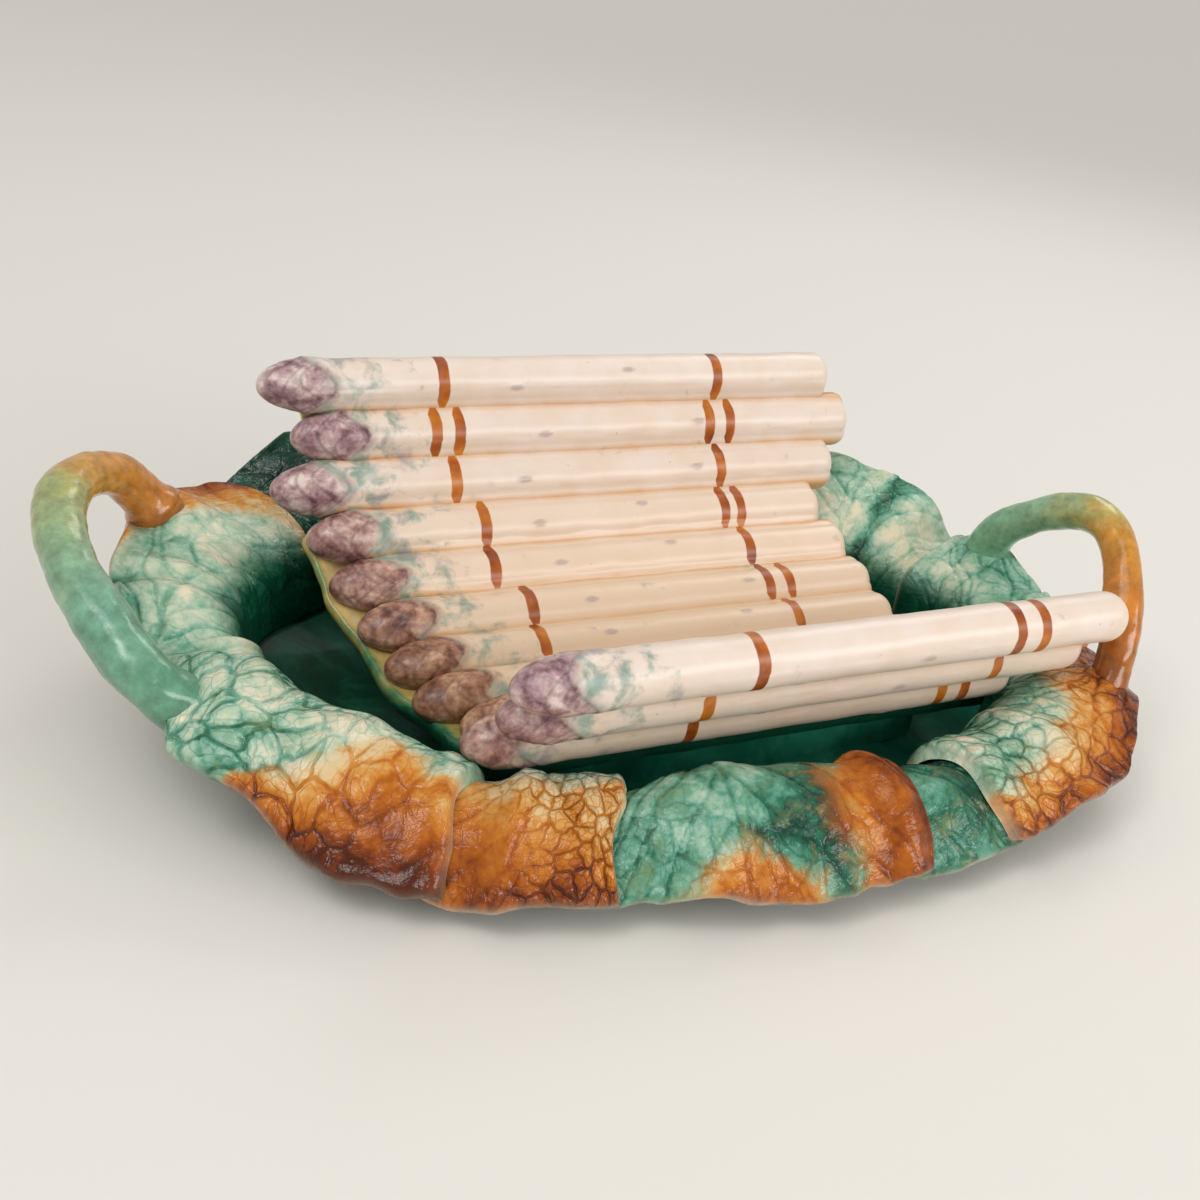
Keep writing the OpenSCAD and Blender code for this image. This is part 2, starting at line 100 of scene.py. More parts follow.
# %% Helpers
def mix(a, b, f):
    return a + (b - a) * f


def ease(f):
    f = np.clip(f, 0, 1)
    return f * f * (3 - 2 * f)


def hump(x, middle, half):
    """1 at the middle, and about a third at the half width to either side."""
    return np.exp(-((x - middle) / half) ** 2)


def colour(text):
    """An sRGB hex colour as linear red, green, blue and alpha."""
    rgb = [int(text[k:k + 2], 16) / 255 for k in (1, 3, 5)]
    return tuple(c / 12.92 if c <= 0.04045 else ((c + 0.055) / 1.055) ** 2.4 for c in rgb) + (1.0,)


def add(tree, kind, links=None, **settings):
    """Adds a node, sets it, links or fills its inputs, and gives its first output."""
    made = tree.nodes.new(kind)
    for name, value in settings.items():
        setattr(made, name, value)
    for name, value in (links or {}).items():
        if isinstance(value, bpy.types.NodeSocket):
            tree.links.new(value, made.inputs[name])
        else:
            made.inputs[name].default_value = value
    return made.outputs[0] if len(made.outputs) else made


def ramp(made, stops):
    """Sets the stops of a colour ramp from pairs of place and hex colour."""
    band = made.node.color_ramp
    while len(band.elements) < len(stops):
        band.elements.new(0.5)
    for element, (place, text) in zip(band.elements, stops):
        element.position = place
        element.color = colour(text)
    return made


print("helpers ready; ivory is", [round(c, 3) for c in colour("#f0e4cc")])

# %% [markdown]
# Clay modelled by hand is never quite even. A smooth noise on a lattice of random
# values gives the slow lumps.

# %% Lumps in the clay
def cloud(points, size, seed):
    """Smooth noise from -1 to 1 at points (…, 3), with lumps of about the given size."""
    table = np.random.RandomState(seed).uniform(-1, 1, (32, 32, 32))
    q = np.asarray(points, float) / size + 100.0
    low = np.floor(q).astype(int)
    f = ease(q - low)
    total = 0
    for corner in np.ndindex(2, 2, 2):
        x, y, z = np.moveaxis((low + corner) % 32, -1, 0)
        total = total + table[x, y, z] * np.prod(np.abs(1 - np.array(corner) - f), -1)
    return total


print("noise from", round(float(cloud(np.random.RandomState(0).rand(500, 3) * 90, 8, 1).min()), 2))

# %% [markdown]
# Every leaf of the dish is a stretch of one surface that rises from the basin, rolls
# over a crest and falls or flares to its edge. The same named sizes and tables as in
# the CAD source describe it, here as functions that take whole grids of places at once.

# %% The rim's surface
waves = 22
crest_a, crest_b, crest_h = 164, 98, 54
leaf_reach, edge_h, edge_clear = 48, 70, 4
leaf_drop, leaf_inset, leaf_t, leaf_swell = 22, 10, 4.5, 6
ruffle, rib_depth, rib_half = 2.2, 1.2, 2.4
crest_shares = [0.58, 0.72, 0.88, 0.84, 0.90, 0.83, 0.81, 0.68, 0.56, 0.58, 0.54, 0.55]
reach_shares = [0.59, 0.68, 0.76, 0.64, 0.80, 0.96, 0.66, 0.62, 0.67, 0.46, 0.64, 0.80]
edge_shares = [0.34, 0.62, 0.92, 0.74, 0.88, 0.76, 0.66, 0.36, 0.00, 0.00, 0.00, 0.26]
shoulder, bend, flare, rise = 0.55, 0.6, 0.35, 0.5
leaf_at = [195, 237, 254, 289, 305, 348, 388, 422, 445, 466, 481, 503, 555]
next_on_top = [0, 0, 0, 0, 1, 0, 0, 0, 1, 0, 1, 1]
curl_shares = [0, 0, 0.3, 0.2, 0.2, 0.3, 1.6, 0.3, 0.6, 0.3, 1.6, 0.4]
lap, settle, merge, thin, lute = 3, 9, 0.33, 0.4, 0.3
fold_h, fold_pitch, fold_start, cross_share, calm_half = 1.6, 24, 0.35, 0.5, 9
roll_h, roll_half = 4.5, 3.5
roll_shares = [1.0, 0.4, 0.35, 0.85, 0.5, 0.3, 0.3, 0.3, 0.4, 0.3, 0.3, 0.4]
roll_ends = [0.5, 1.2, 1.2, 1.2, 1.2, 0.5, 1.2, 1.2, 1.2, 1.2, 1.2, 1.2]


def around(table, ang):
    """A smooth closed curve through values spaced evenly round the rim."""
    n = len(table)
    s = np.asarray(ang, float) / 360 * n
    i = np.floor(s).astype(int)
    f = s - i
    a, b, c, d = (np.asarray(table)[(i + k) % n] for k in (-1, 0, 1, 2))
    return (b + (c - a) * f / 2 + (2 * a - 5 * b + 4 * c - d) * f ** 2 / 2
            + (3 * b - a - 3 * c + d) * f ** 3 / 2)


def bezier(p, t):
    return ((1 - t) ** 3 * p[0] + 3 * (1 - t) ** 2 * t * p[1] + 3 * (1 - t) * t * t * p[2]
            + t ** 3 * p[3])


def rim(ang, t):
    """A place on the rim's surface: so many degrees round it, and a share t of the way out."""
    reach = leaf_reach * around(reach_shares, ang)
    out = bezier([-leaf_inset, -leaf_inset * shoulder, reach * bend, reach], t)
    top = crest_h * around(crest_shares, ang)
    lowest = edge_clear + ruffle
    edge = lowest + (edge_h - edge_clear - ruffle) * np.maximum(0, around(edge_shares, ang))
    lift = leaf_drop * rise
    spread_up = top + lift * rise + flare * np.maximum(0, edge - top)
    z = bezier([top - leaf_drop, top + lift, spread_up, edge], t)
    z = z + ruffle * t ** 3 * np.sin(np.radians(ang * waves))
    c, s = np.cos(np.radians(ang)), np.sin(np.radians(ang))
    return np.stack([(crest_a + out) * c, (crest_b + out) * s, z], -1) + MIDDLE


def over_rim(ang, t, h):
    """A point at height h over the rim's surface, away from the table."""
    step = 0.01
    across = rim(ang + step, t) - rim(ang - step, t)
    along = rim(ang, t + step) - rim(ang, t - step)
    normal = np.cross(across, along)
    normal /= np.linalg.norm(normal, axis=-1, keepdims=True)
    return rim(ang, t) - normal * np.asarray(h)[..., None]


def swell(i, ang, t):
    near, far = ang - (leaf_at[i] - lap), leaf_at[i + 1] + lap - ang
    lift = ((next_on_top[i % 12] == 1) * (1 - ease((near - 2 * lap) / settle))
            + (next_on_top[(i + 1) % 12] == 0) * (1 - ease((far - 2 * lap) / settle)))
    free = ease((np.minimum(near, far) - 2 * lap) / settle)
    return ((leaf_t * mix(thin, 1, ease(t / merge)) + lute) * np.minimum(1, lift)
            + free * leaf_swell * (ease(t / merge) + curl_shares[i] * t ** 3))


# Where a handle stands: its place round the rim for each leaf, and its share of the way out
handle_seats = {11: 516, 0: 205, 5: 383, 4: 337}
stand = 0.78


def from_borders(i, ang):
    """How many degrees a place lies in from a leaf's two side borders."""
    return ang - (leaf_at[i] - lap), leaf_at[i + 1] + lap - ang


def freed(degrees):
    """0 where a leaf laps another, and 1 where it lies free."""
    return ease((degrees - 2 * lap) / settle)


def free_part(i, ang):
    """0 within a leaf's borders, 1 on its free middle."""
    return freed(np.minimum(*from_borders(i, ang)))


def clay_at(t):
    """A leaf's thickness, which is less where it enters the basin."""
    return leaf_t * mix(thin, 1, ease(t / merge))


def swell(i, ang, t):
    """How high a leaf's underside lies: over its neighbours, and by its own curl."""
    near, far = from_borders(i, ang)
    lift = ((next_on_top[i % 12] == 1) * (1 - freed(near))
            + (next_on_top[(i + 1) % 12] == 0) * (1 - freed(far)))
    return ((clay_at(t) + lute) * np.minimum(1, lift)
            + free_part(i, ang) * leaf_swell * (ease(t / merge) + curl_shares[i] * t ** 3))


def fold(i, ang, t):
    """The waves that run out over a leaf, and the slower one across them."""
    start, stop = leaf_at[i] - lap, leaf_at[i + 1] + lap
    u = (ang - start) / (stop - start)
    folds = max(1, round(math.radians(stop - start) * (crest_a + crest_b) / 2 / fold_pitch))
    calm = ease(abs(ang - handle_seats[i]) / calm_half - 1) if i in handle_seats else 1
    wave = mix(fold_start, 1, t) * np.sin(np.radians(360 * folds * u + 60 * i + 90 * t))
    wave = wave + cross_share * np.sin(np.radians(430 * t + 137 * i + 180 * u))
    return fold_h * free_part(i, ang) * ease(t / merge) * calm * wave


def furrow(i, ang):
    """How deep the groove along a leaf's middle is."""
    middle = (leaf_at[i] + leaf_at[i + 1]) / 2
    return rib_depth * np.maximum(0, 1 - abs(ang - middle) / rib_half)


def roll(i, ang, t):
    """The rolled border of a leaf, where it lies on top of its neighbour."""
    high = 0
    for border, side, x in zip((i, i + 1), (1, 0), from_borders(i, ang)):
        b = border % 12
        if next_on_top[b] == side:
            bump = np.maximum(0, 1 - (x / roll_half - 1) ** 2) ** 2
            inner_part = 1 - ease((t - roll_ends[b]) / 0.2 + 0.5)
            high = high + roll_h * roll_shares[b] * bump * inner_part
    return high * ease(t / merge)


def leaf_top(i, ang, t):
    """A place on a leaf's upper side, as the CAD model has it."""
    body = clay_at(t) - furrow(i, ang) * ease(t / merge)
    return over_rim(ang, t, swell(i, ang, t) + fold(i, ang, t) + roll(i, ang, t) + body)


print("rim from", rim(np.array([0.0, 90, 180, 270]), np.full(4, 0.5)).round(1).tolist())

# %% [markdown]
# A closed sheet is two grids of points, one for each skin, joined along all four
# borders. Leaves, the basin and the cradle's shell are all made from it, and whatever
# the glaze needs to know (how deep a vein, how near an edge) is stored on its points.

# %% A closed sheet
def piece_from(name, points, faces, marks, material):
    """A smooth mesh piece, with named values on its points."""
    mesh = bpy.data.meshes.new(name)
    mesh.from_pydata((points * MM).tolist(), [], faces.tolist())
    work = bmesh.new()
    work.from_mesh(mesh)
    bmesh.ops.recalc_face_normals(work, faces=work.faces)
    work.to_mesh(mesh)
    work.free()
    mesh.shade_smooth()
    for mark, values in marks.items():
        mesh.attributes.new(mark, "FLOAT", "POINT").data.foreach_set(
            "value", np.asarray(values, np.float32).ravel())
    mesh.materials.append(material)
    return placed(name, mesh)


def skins(top, low=None):
    """A grid of places or of values for the upper skin and then for the lower one."""
    return np.concatenate([v.reshape(-1, *v.shape[2:]) for v in (top, top if low is None else low)])


def sheet_faces(nc, nr, loop=False):
    """Faces of two skins of (nc + 1) by (nr + 1) points, open sides joined."""
    w = nr + 1
    n = (nc + (0 if loop else 1)) * w
    wrap = (lambda c: (c % nc)) if loop else (lambda c: c)
    c, r = np.meshgrid(np.arange(nc), np.arange(nr), indexing="ij")
    k, m = wrap(c) * w + r, wrap(c + 1) * w + r
    top = np.stack([k, m, m + 1, k + 1], -1).reshape(-1, 4)
    low = top[:, ::-1] + n
    c = np.arange(nc)
    sides = []
    for e in (0, nr):
        k, m = wrap(c) * w + e, wrap(c + 1) * w + e
        sides.append(np.stack([k, m, m + n, k + n], -1))
    if not loop:
        r = np.arange(nr)
        for e in (0, nc):
            k = e * w + r
            sides.append(np.stack([k, k + 1, k + 1 + n, k + n], -1))
    return np.concatenate([top, low] + sides)


print("a sheet of 2 by 2 has", len(sheet_faces(2, 2)), "faces")

# %% [markdown]
# The glaze of a leaf is one material for all twelve. Its green is a copper glaze over a
# cream body: where the mark for the glaze's depth is high (in the veins and hollows) it is
# thick and dark, on the high places it is thin and nearly cream. Along a border that lies
# under the neighbouring leaf the same mark is raised as painted shade. The mark amber
# brings in the iron-brown glaze that was poured on the borders: it starts as a thin tan and
# gets orange, then dark brown, further in. The mark deep darkens the leaf where it enters
# the basin, and the lip mark paints the rolled edge pale: partly the glaze thinning there,
# partly a painted highlight. The shine comes from the surface itself: a clear coat over it
# would not follow the relief, and would mirror the lamps in broad white patches.

# %% Leaf glaze
def new_material(name, roughness, coat, shine=0.5, coat_roughness=0.1):
    """A new material, with its tree and its shader."""
    made = bpy.data.materials.new(name)
    made.use_nodes = True
    shader = made.node_tree.nodes["Principled BSDF"]
    for setting, value in {"Roughness": roughness, "IOR": 1.5, "Specular IOR Level": shine,
                           "Coat Weight": coat, "Coat Roughness": coat_roughness,
                           "Coat IOR": 1.55}.items():
        shader.inputs[setting].default_value = value
    return made, made.node_tree, shader


leaf_glaze, tree, shader = new_material("leaf_lead_glaze", 0.16, 0.0, 0.34)
place = add(tree, "ShaderNodeTexCoord").node.outputs["Object"]
leaf_marks = "pool_and_shade", "amber", "deep", "lip_and_highlight", "net_part"
pool_and_shade, amber, deep, lip_and_highlight, net_part = (
    add(tree, "ShaderNodeAttribute", attribute_name=name).node.outputs["Fac"] for name in leaf_marks)
# The net of fine veins: lines between cells, in the leaf's own plane
net_place = add(tree, "ShaderNodeAttribute", attribute_name="net").node.outputs["Vector"]
wobble = add(tree, "ShaderNodeTexNoise", {"Vector": net_place, "Scale": 1.4,
                                          "Detail": 2}).node.outputs["Color"]
wobble = add(tree, "ShaderNodeVectorMath", {0: wobble, 1: (0.5, 0.5, 0.5)}, operation="SUBTRACT")
net_place = add(tree, "ShaderNodeVectorMath", {0: wobble, 1: (0.55, 0.55, 0.0), 2: net_place},
                operation="MULTIPLY_ADD")
coarse = add(tree, "ShaderNodeTexVoronoi", {"Vector": net_place, "Scale": 1.0, "Randomness": 0.85},
             feature="DISTANCE_TO_EDGE", voronoi_dimensions="2D")
close = add(tree, "ShaderNodeTexVoronoi", {"Vector": net_place, "Scale": 2.3, "Randomness": 0.9},
            feature="DISTANCE_TO_EDGE", voronoi_dimensions="2D")
net_line = add(tree, "ShaderNodeMapRange", {"Value": coarse, "From Min": 0.01, "From Max": 0.11,
                                            "To Min": 1.0, "To Max": 0.0},
               interpolation_type="SMOOTHSTEP")
fine_line = add(tree, "ShaderNodeMapRange", {"Value": close, "From Min": 0.01, "From Max": 0.11,
                                             "To Min": 0.4, "To Max": 0.0},
                interpolation_type="SMOOTHSTEP")
net_line = add(tree, "ShaderNodeMath", {0: net_line, 1: fine_line}, operation="MAXIMUM")
net_line = add(tree, "ShaderNodeMath", {0: net_line, 1: net_part}, operation="MULTIPLY")
puff = add(tree, "ShaderNodeMapRange", {"Value": coarse, "From Max": 0.32},
           interpolation_type="SMOOTHSTEP")
puff = add(tree, "ShaderNodeMath", {0: puff, 1: net_part}, operation="MULTIPLY")
# Runs in the glaze 20 mm wide, clouds of 7 mm and flecks of 2 mm
runs = add(tree, "ShaderNodeTexNoise", {"Vector": place, "Scale": 48, "Detail": 3, "Roughness": 0.55,
                                        "Distortion": 0.3})
clouds = add(tree, "ShaderNodeTexNoise", {"Vector": place, "Scale": 140, "Detail": 4, "Roughness": 0.6,
                                          "Distortion": 0.3})
flecks = add(tree, "ShaderNodeTexNoise", {"Vector": place, "Scale": 480, "Detail": 2, "Roughness": 0.6})
run_part = add(tree, "ShaderNodeMath", {0: runs, 1: 0.5}, operation="SUBTRACT")
cloud_part = add(tree, "ShaderNodeMath", {0: clouds, 1: 0.5}, operation="SUBTRACT")
fleck_part = add(tree, "ShaderNodeMath", {0: flecks, 1: 0.5}, operation="SUBTRACT")
# The glaze's depth for the green, which also carries the painted shade under a neighbouring leaf
thick = add(tree, "ShaderNodeMath", {0: run_part, 1: 1.15, 2: pool_and_shade}, operation="MULTIPLY_ADD")
thick = add(tree, "ShaderNodeMath", {0: cloud_part, 1: 0.8, 2: thick}, operation="MULTIPLY_ADD")
thick = add(tree, "ShaderNodeMath", {0: fleck_part, 1: 0.3, 2: thick}, operation="MULTIPLY_ADD")
thick = add(tree, "ShaderNodeMath", {0: net_line, 1: 0.30, 2: thick}, operation="MULTIPLY_ADD")
thick = add(tree, "ShaderNodeMath", {0: puff, 1: -0.10, 2: thick}, operation="MULTIPLY_ADD")
green = ramp(add(tree, "ShaderNodeValToRGB", {"Fac": thick}),
             [(0.0, "#ddd3b6"), (0.20, "#c0cab0"), (0.40, "#96b8a0"), (0.58, "#619b83"),
              (0.78, "#286b51"), (1.0, "#0c3f2f")])
# Some of the green leans to yellow, where the brown ran into it
warm_green = add(tree, "ShaderNodeMapRange", {"Value": clouds, "From Min": 0.52, "From Max": 0.72,
                                              "To Max": 0.5})
green = add(tree, "ShaderNodeMix", {0: warm_green, 6: green, 7: colour("#93a878")},
            data_type="RGBA").node.outputs[2]
inside = add(tree, "ShaderNodeMath", {0: run_part, 1: 0.5, 2: amber}, operation="MULTIPLY_ADD")
inside = add(tree, "ShaderNodeMath", {0: cloud_part, 1: 0.35, 2: inside}, operation="MULTIPLY_ADD")
brown_depth = add(tree, "ShaderNodeMath", {0: inside, 1: 0.48, 2: -0.26}, operation="MULTIPLY_ADD")
brown_depth = add(tree, "ShaderNodeMath", {0: thick, 1: 0.66, 2: brown_depth}, operation="MULTIPLY_ADD")
brown_depth = add(tree, "ShaderNodeMath", {0: net_line, 1: 0.16, 2: brown_depth},
                  operation="MULTIPLY_ADD")
brown = ramp(add(tree, "ShaderNodeValToRGB", {"Fac": brown_depth}),
             [(0.0, "#d8b988"), (0.16, "#cf964c"), (0.34, "#c27722"), (0.52, "#a9590c"),
              (0.72, "#823a05"), (0.96, "#4c1b03")])
amber_part = add(tree, "ShaderNodeMapRange", {"Value": inside, "From Min": -0.04, "From Max": 0.26},
                 interpolation_type="SMOOTHSTEP")
glaze = add(tree, "ShaderNodeMix", {0: amber_part, 6: green, 7: brown}, data_type="RGBA").node.outputs[2]
dark = ramp(add(tree, "ShaderNodeValToRGB", {"Fac": thick}),
            [(0.1, "#2b7657"), (0.5, "#0f4d36"), (1.0, "#05281c")])
glaze = add(tree, "ShaderNodeMix", {0: deep, 6: glaze, 7: dark}, data_type="RGBA").node.outputs[2]
# The pale lip: the glaze thin on the rolled edge, and partly a painted highlight
pale = add(tree, "ShaderNodeMath", {0: lip_and_highlight, 1: 0.62}, operation="MULTIPLY")
glaze = add(tree, "ShaderNodeMix", {0: pale, 6: glaze, 7: colour("#e4dabd")},
            data_type="RGBA").node.outputs[2]
tree.links.new(glaze, shader.inputs["Base Color"])
height = add(tree, "ShaderNodeMath", {0: clouds, 1: 1.3}, operation="MULTIPLY")
height = add(tree, "ShaderNodeMath", {0: net_line, 1: -0.6, 2: height}, operation="MULTIPLY_ADD")
height = add(tree, "ShaderNodeMath", {0: puff, 1: 0.7, 2: height}, operation="MULTIPLY_ADD")
grain = add(tree, "ShaderNodeBump", {"Height": height, "Strength": 0.9, "Distance": 0.001})
tree.links.new(grain, shader.inputs["Normal"])
print("leaf glaze:", len(tree.nodes), "nodes")

# %% [markdown]
# A real dock or cabbage leaf was pressed or copied for such a dish: veins that spread
# from the stem, side veins that leave them at an angle, and a net of fine veins with
# softly puffed cells between them. The main ones are cut into the sheet here, and the
# fine net is left to the glaze. All of them are distances in the leaf's own plane, so
# each is a short formula. The edge is uneven, rolled and a little thicker.

# %% Vein patterns
leaf_names = ["leaf_front_left", "leaf_front_left_inner", "leaf_front", "leaf_front_right_inner",
              "leaf_front_right", "leaf_right", "leaf_back_right", "leaf_back_right_inner",
              "leaf_back", "leaf_back_left_inner", "leaf_back_left", "leaf_left"]
# Where each leaf's veins start (across and out, as shares) and where they point, in
# degrees from straight out towards the leaf's right
stems = [(-0.95, 0.55, 75), (0.1, -0.1, 0), (-0.2, -0.1, 8), (-0.1, -0.15, -10), (0.35, 0.75, -80),
         (-0.3, -0.1, 15), (0.0, -0.15, 4), (0.1, -0.1, -8), (-0.1, -0.1, 6), (0.0, -0.1, 0),
         (0.1, -0.1, -12), (0.75, 0.9, -125)]
cell_sizes = [9, 5.2, 9, 9, 7, 9, 10, 10, 10, 9, 11, 11]
# Where brown glaze starts, as shares of the leaf's length, at five places from its left
# border to its right one (beyond 1 is nowhere)
amber_from = [(2.2, 2.0, 0.92, 0.38, 0.46), (0.42, 0.38, 0.36, 0.44, 0.46), (2, 2, 2, 2, 2),
              (2, 2, 2, 2, 1.6), (0.72, 0.60, 0.50, 0.36, 0.22), (0.60, 0.9, 1.3, 1.4, 1.5),
              (2, 2, 1.5, 1.3, 1.1), (1.3, 1.2, 1.1, 1.2, 1.3), (0.9, 0.85, 0.8, 0.9, 1.0),
              (2, 2, 1.5, 1.3, 1.2), (1.3, 1.2, 1.1, 0.9, 0.7), (0.42, 0.7, 0.9, 1.2, 1.5)]
# Patches of it: where across and out, how wide and long, how strong and how much darker
amber_patches = {2: [(1.0, 0.66, 0.46, 0.50, 1.3, 0.52), (-0.04, 1.02, 0.42, 0.22, 0.8, -0.05)],
                 11: [(-1.0, 0.8, 0.22, 0.6, 1.0, 0.0)]}
# Dark creases: where across, how wide, how dark
creases = {2: (0.40, 0.07, 0.34), 6: (-0.1, 0.09, 0.4), 0: (0.02, 0.05, 0.12)}
deep_to = [0.18, 0.14, 0.24, 0.36, 0.22, 0.30, 0.26, 0.28, 0.2, 0.4, 1.2, 0.36]
# How thick the green is, and how strongly the fine net shows: the casts are crisp only
# in some places
pools = [0.42, 0.38, 0.60, 0.78, 0.42, 0.54, 0.34, 0.62, 0.52, 0.62, 0.80, 0.42]
net_shares = [0.9, 1.0, 0.35, 0.5, 0.9, 0.5, 0.35, 0.6, 0.6, 0.5, 0.3, 0.35]
# Where on a leaf the net shows: a share everywhere, and more towards its right
net_tilt = {0: (1.15, -0.6), 1: (0.75, 1.1), 4: (0.9, 0.2)}
# How dark the brown runs together along the edge, and how pale the lip is: thin glaze,
# and partly a painted highlight
edge_dark = [0.55, 0.10, 0.30, 0.2, 0.35, 0.3, 0.2, 0.2, 0.2, 0.2, 0.3, 0.4]
lip_highlight_shares = [0.7, 1.3, 1.3, 1.4, 0.7, 0.8, 1.0, 1.0, 1.0, 1.0, 0.8, 0.8]
# How much shorter a leaf is at its left and right corners
corners = [(0.12, 0.05), (0.0, 0.02), (0.03, 0.05), (0.05, 0.05), (0.05, 0.12), (0.1, 0.1)]
corners += [(0.12, 0.12)] * 6
# Extra bulges: how high, and where across and out on the leaf
bulges = {0: (4.0, 0.35, 0.36), 2: (1.5, 0.2, 0.4), 4: (2.5, 0.1, 0.4)}
# Lobes that hang lower: where across, how wide, how much longer
lobes_at = {0: (0.62, 0.26, 0.075), 2: (0.55, 0.25, 0.03)}
# The clay drawn up round a handle's foot: how far it is flat, its height, how far it falls
knuckles = {0: (12, 9.0, 9), 11: (9, 4.0, 5), 5: (7, 4.0, 5), 4: (7, 4.0, 5)}
# Millimetres between the points of a leaf; the bead along its border: height, place and
# half width; how far in the border is rounded; how slowly the brown sets in
point_step = 0.66
bead_h, bead_in, bead_half = 0.9, 2.6, 1.9
round_in, brown_fade = 3.0, 0.42


def vein_net(i, s, q, wide, length):
    """Marks from 0 to 1 of a leaf's main veins."""
    dice = np.random.RandomState(40 + i)
    across, out, turn = stems[i]
    turn = math.radians(turn)
    ds, dq = s - across * wide / 2, q - out * length
    along = ds * math.sin(turn) + dq * math.cos(turn)
    aside = ds * math.cos(turn) - dq * math.sin(turn)
    aside = aside - 5 * np.sin(along / 23 + i)
    strength = np.exp(-along / 160)
    main = hump(aside, 0, 1.2 - 0.003 * along)
    for k in range(9):
        for side in (-1, 1):
            start = k * 17 - 22 + 7 * dice.rand()
            slope, curve = 0.75 + 0.6 * dice.rand(), 0.004 + 0.006 * dice.rand()
            y = side * aside
            bend = 2.2 * np.sin(y / 9 + 6 * dice.rand())
            gap = np.abs(along - (start + slope * y + curve * y * y + bend)) / np.hypot(1, slope)
            main = np.maximum(main, 0.9 * ease(y / 3) * hump(gap, 0, 0.85))
    return main * strength


print("vein patterns for", len(stems), "leaves")

# %% [markdown]
# Where a handle stands on a leaf, the clay was drawn up round it, so the leaf rises to
# meet the branch. Everything else that makes a leaf is added over the same surface:
# swelling, folds, veins and rolled borders.

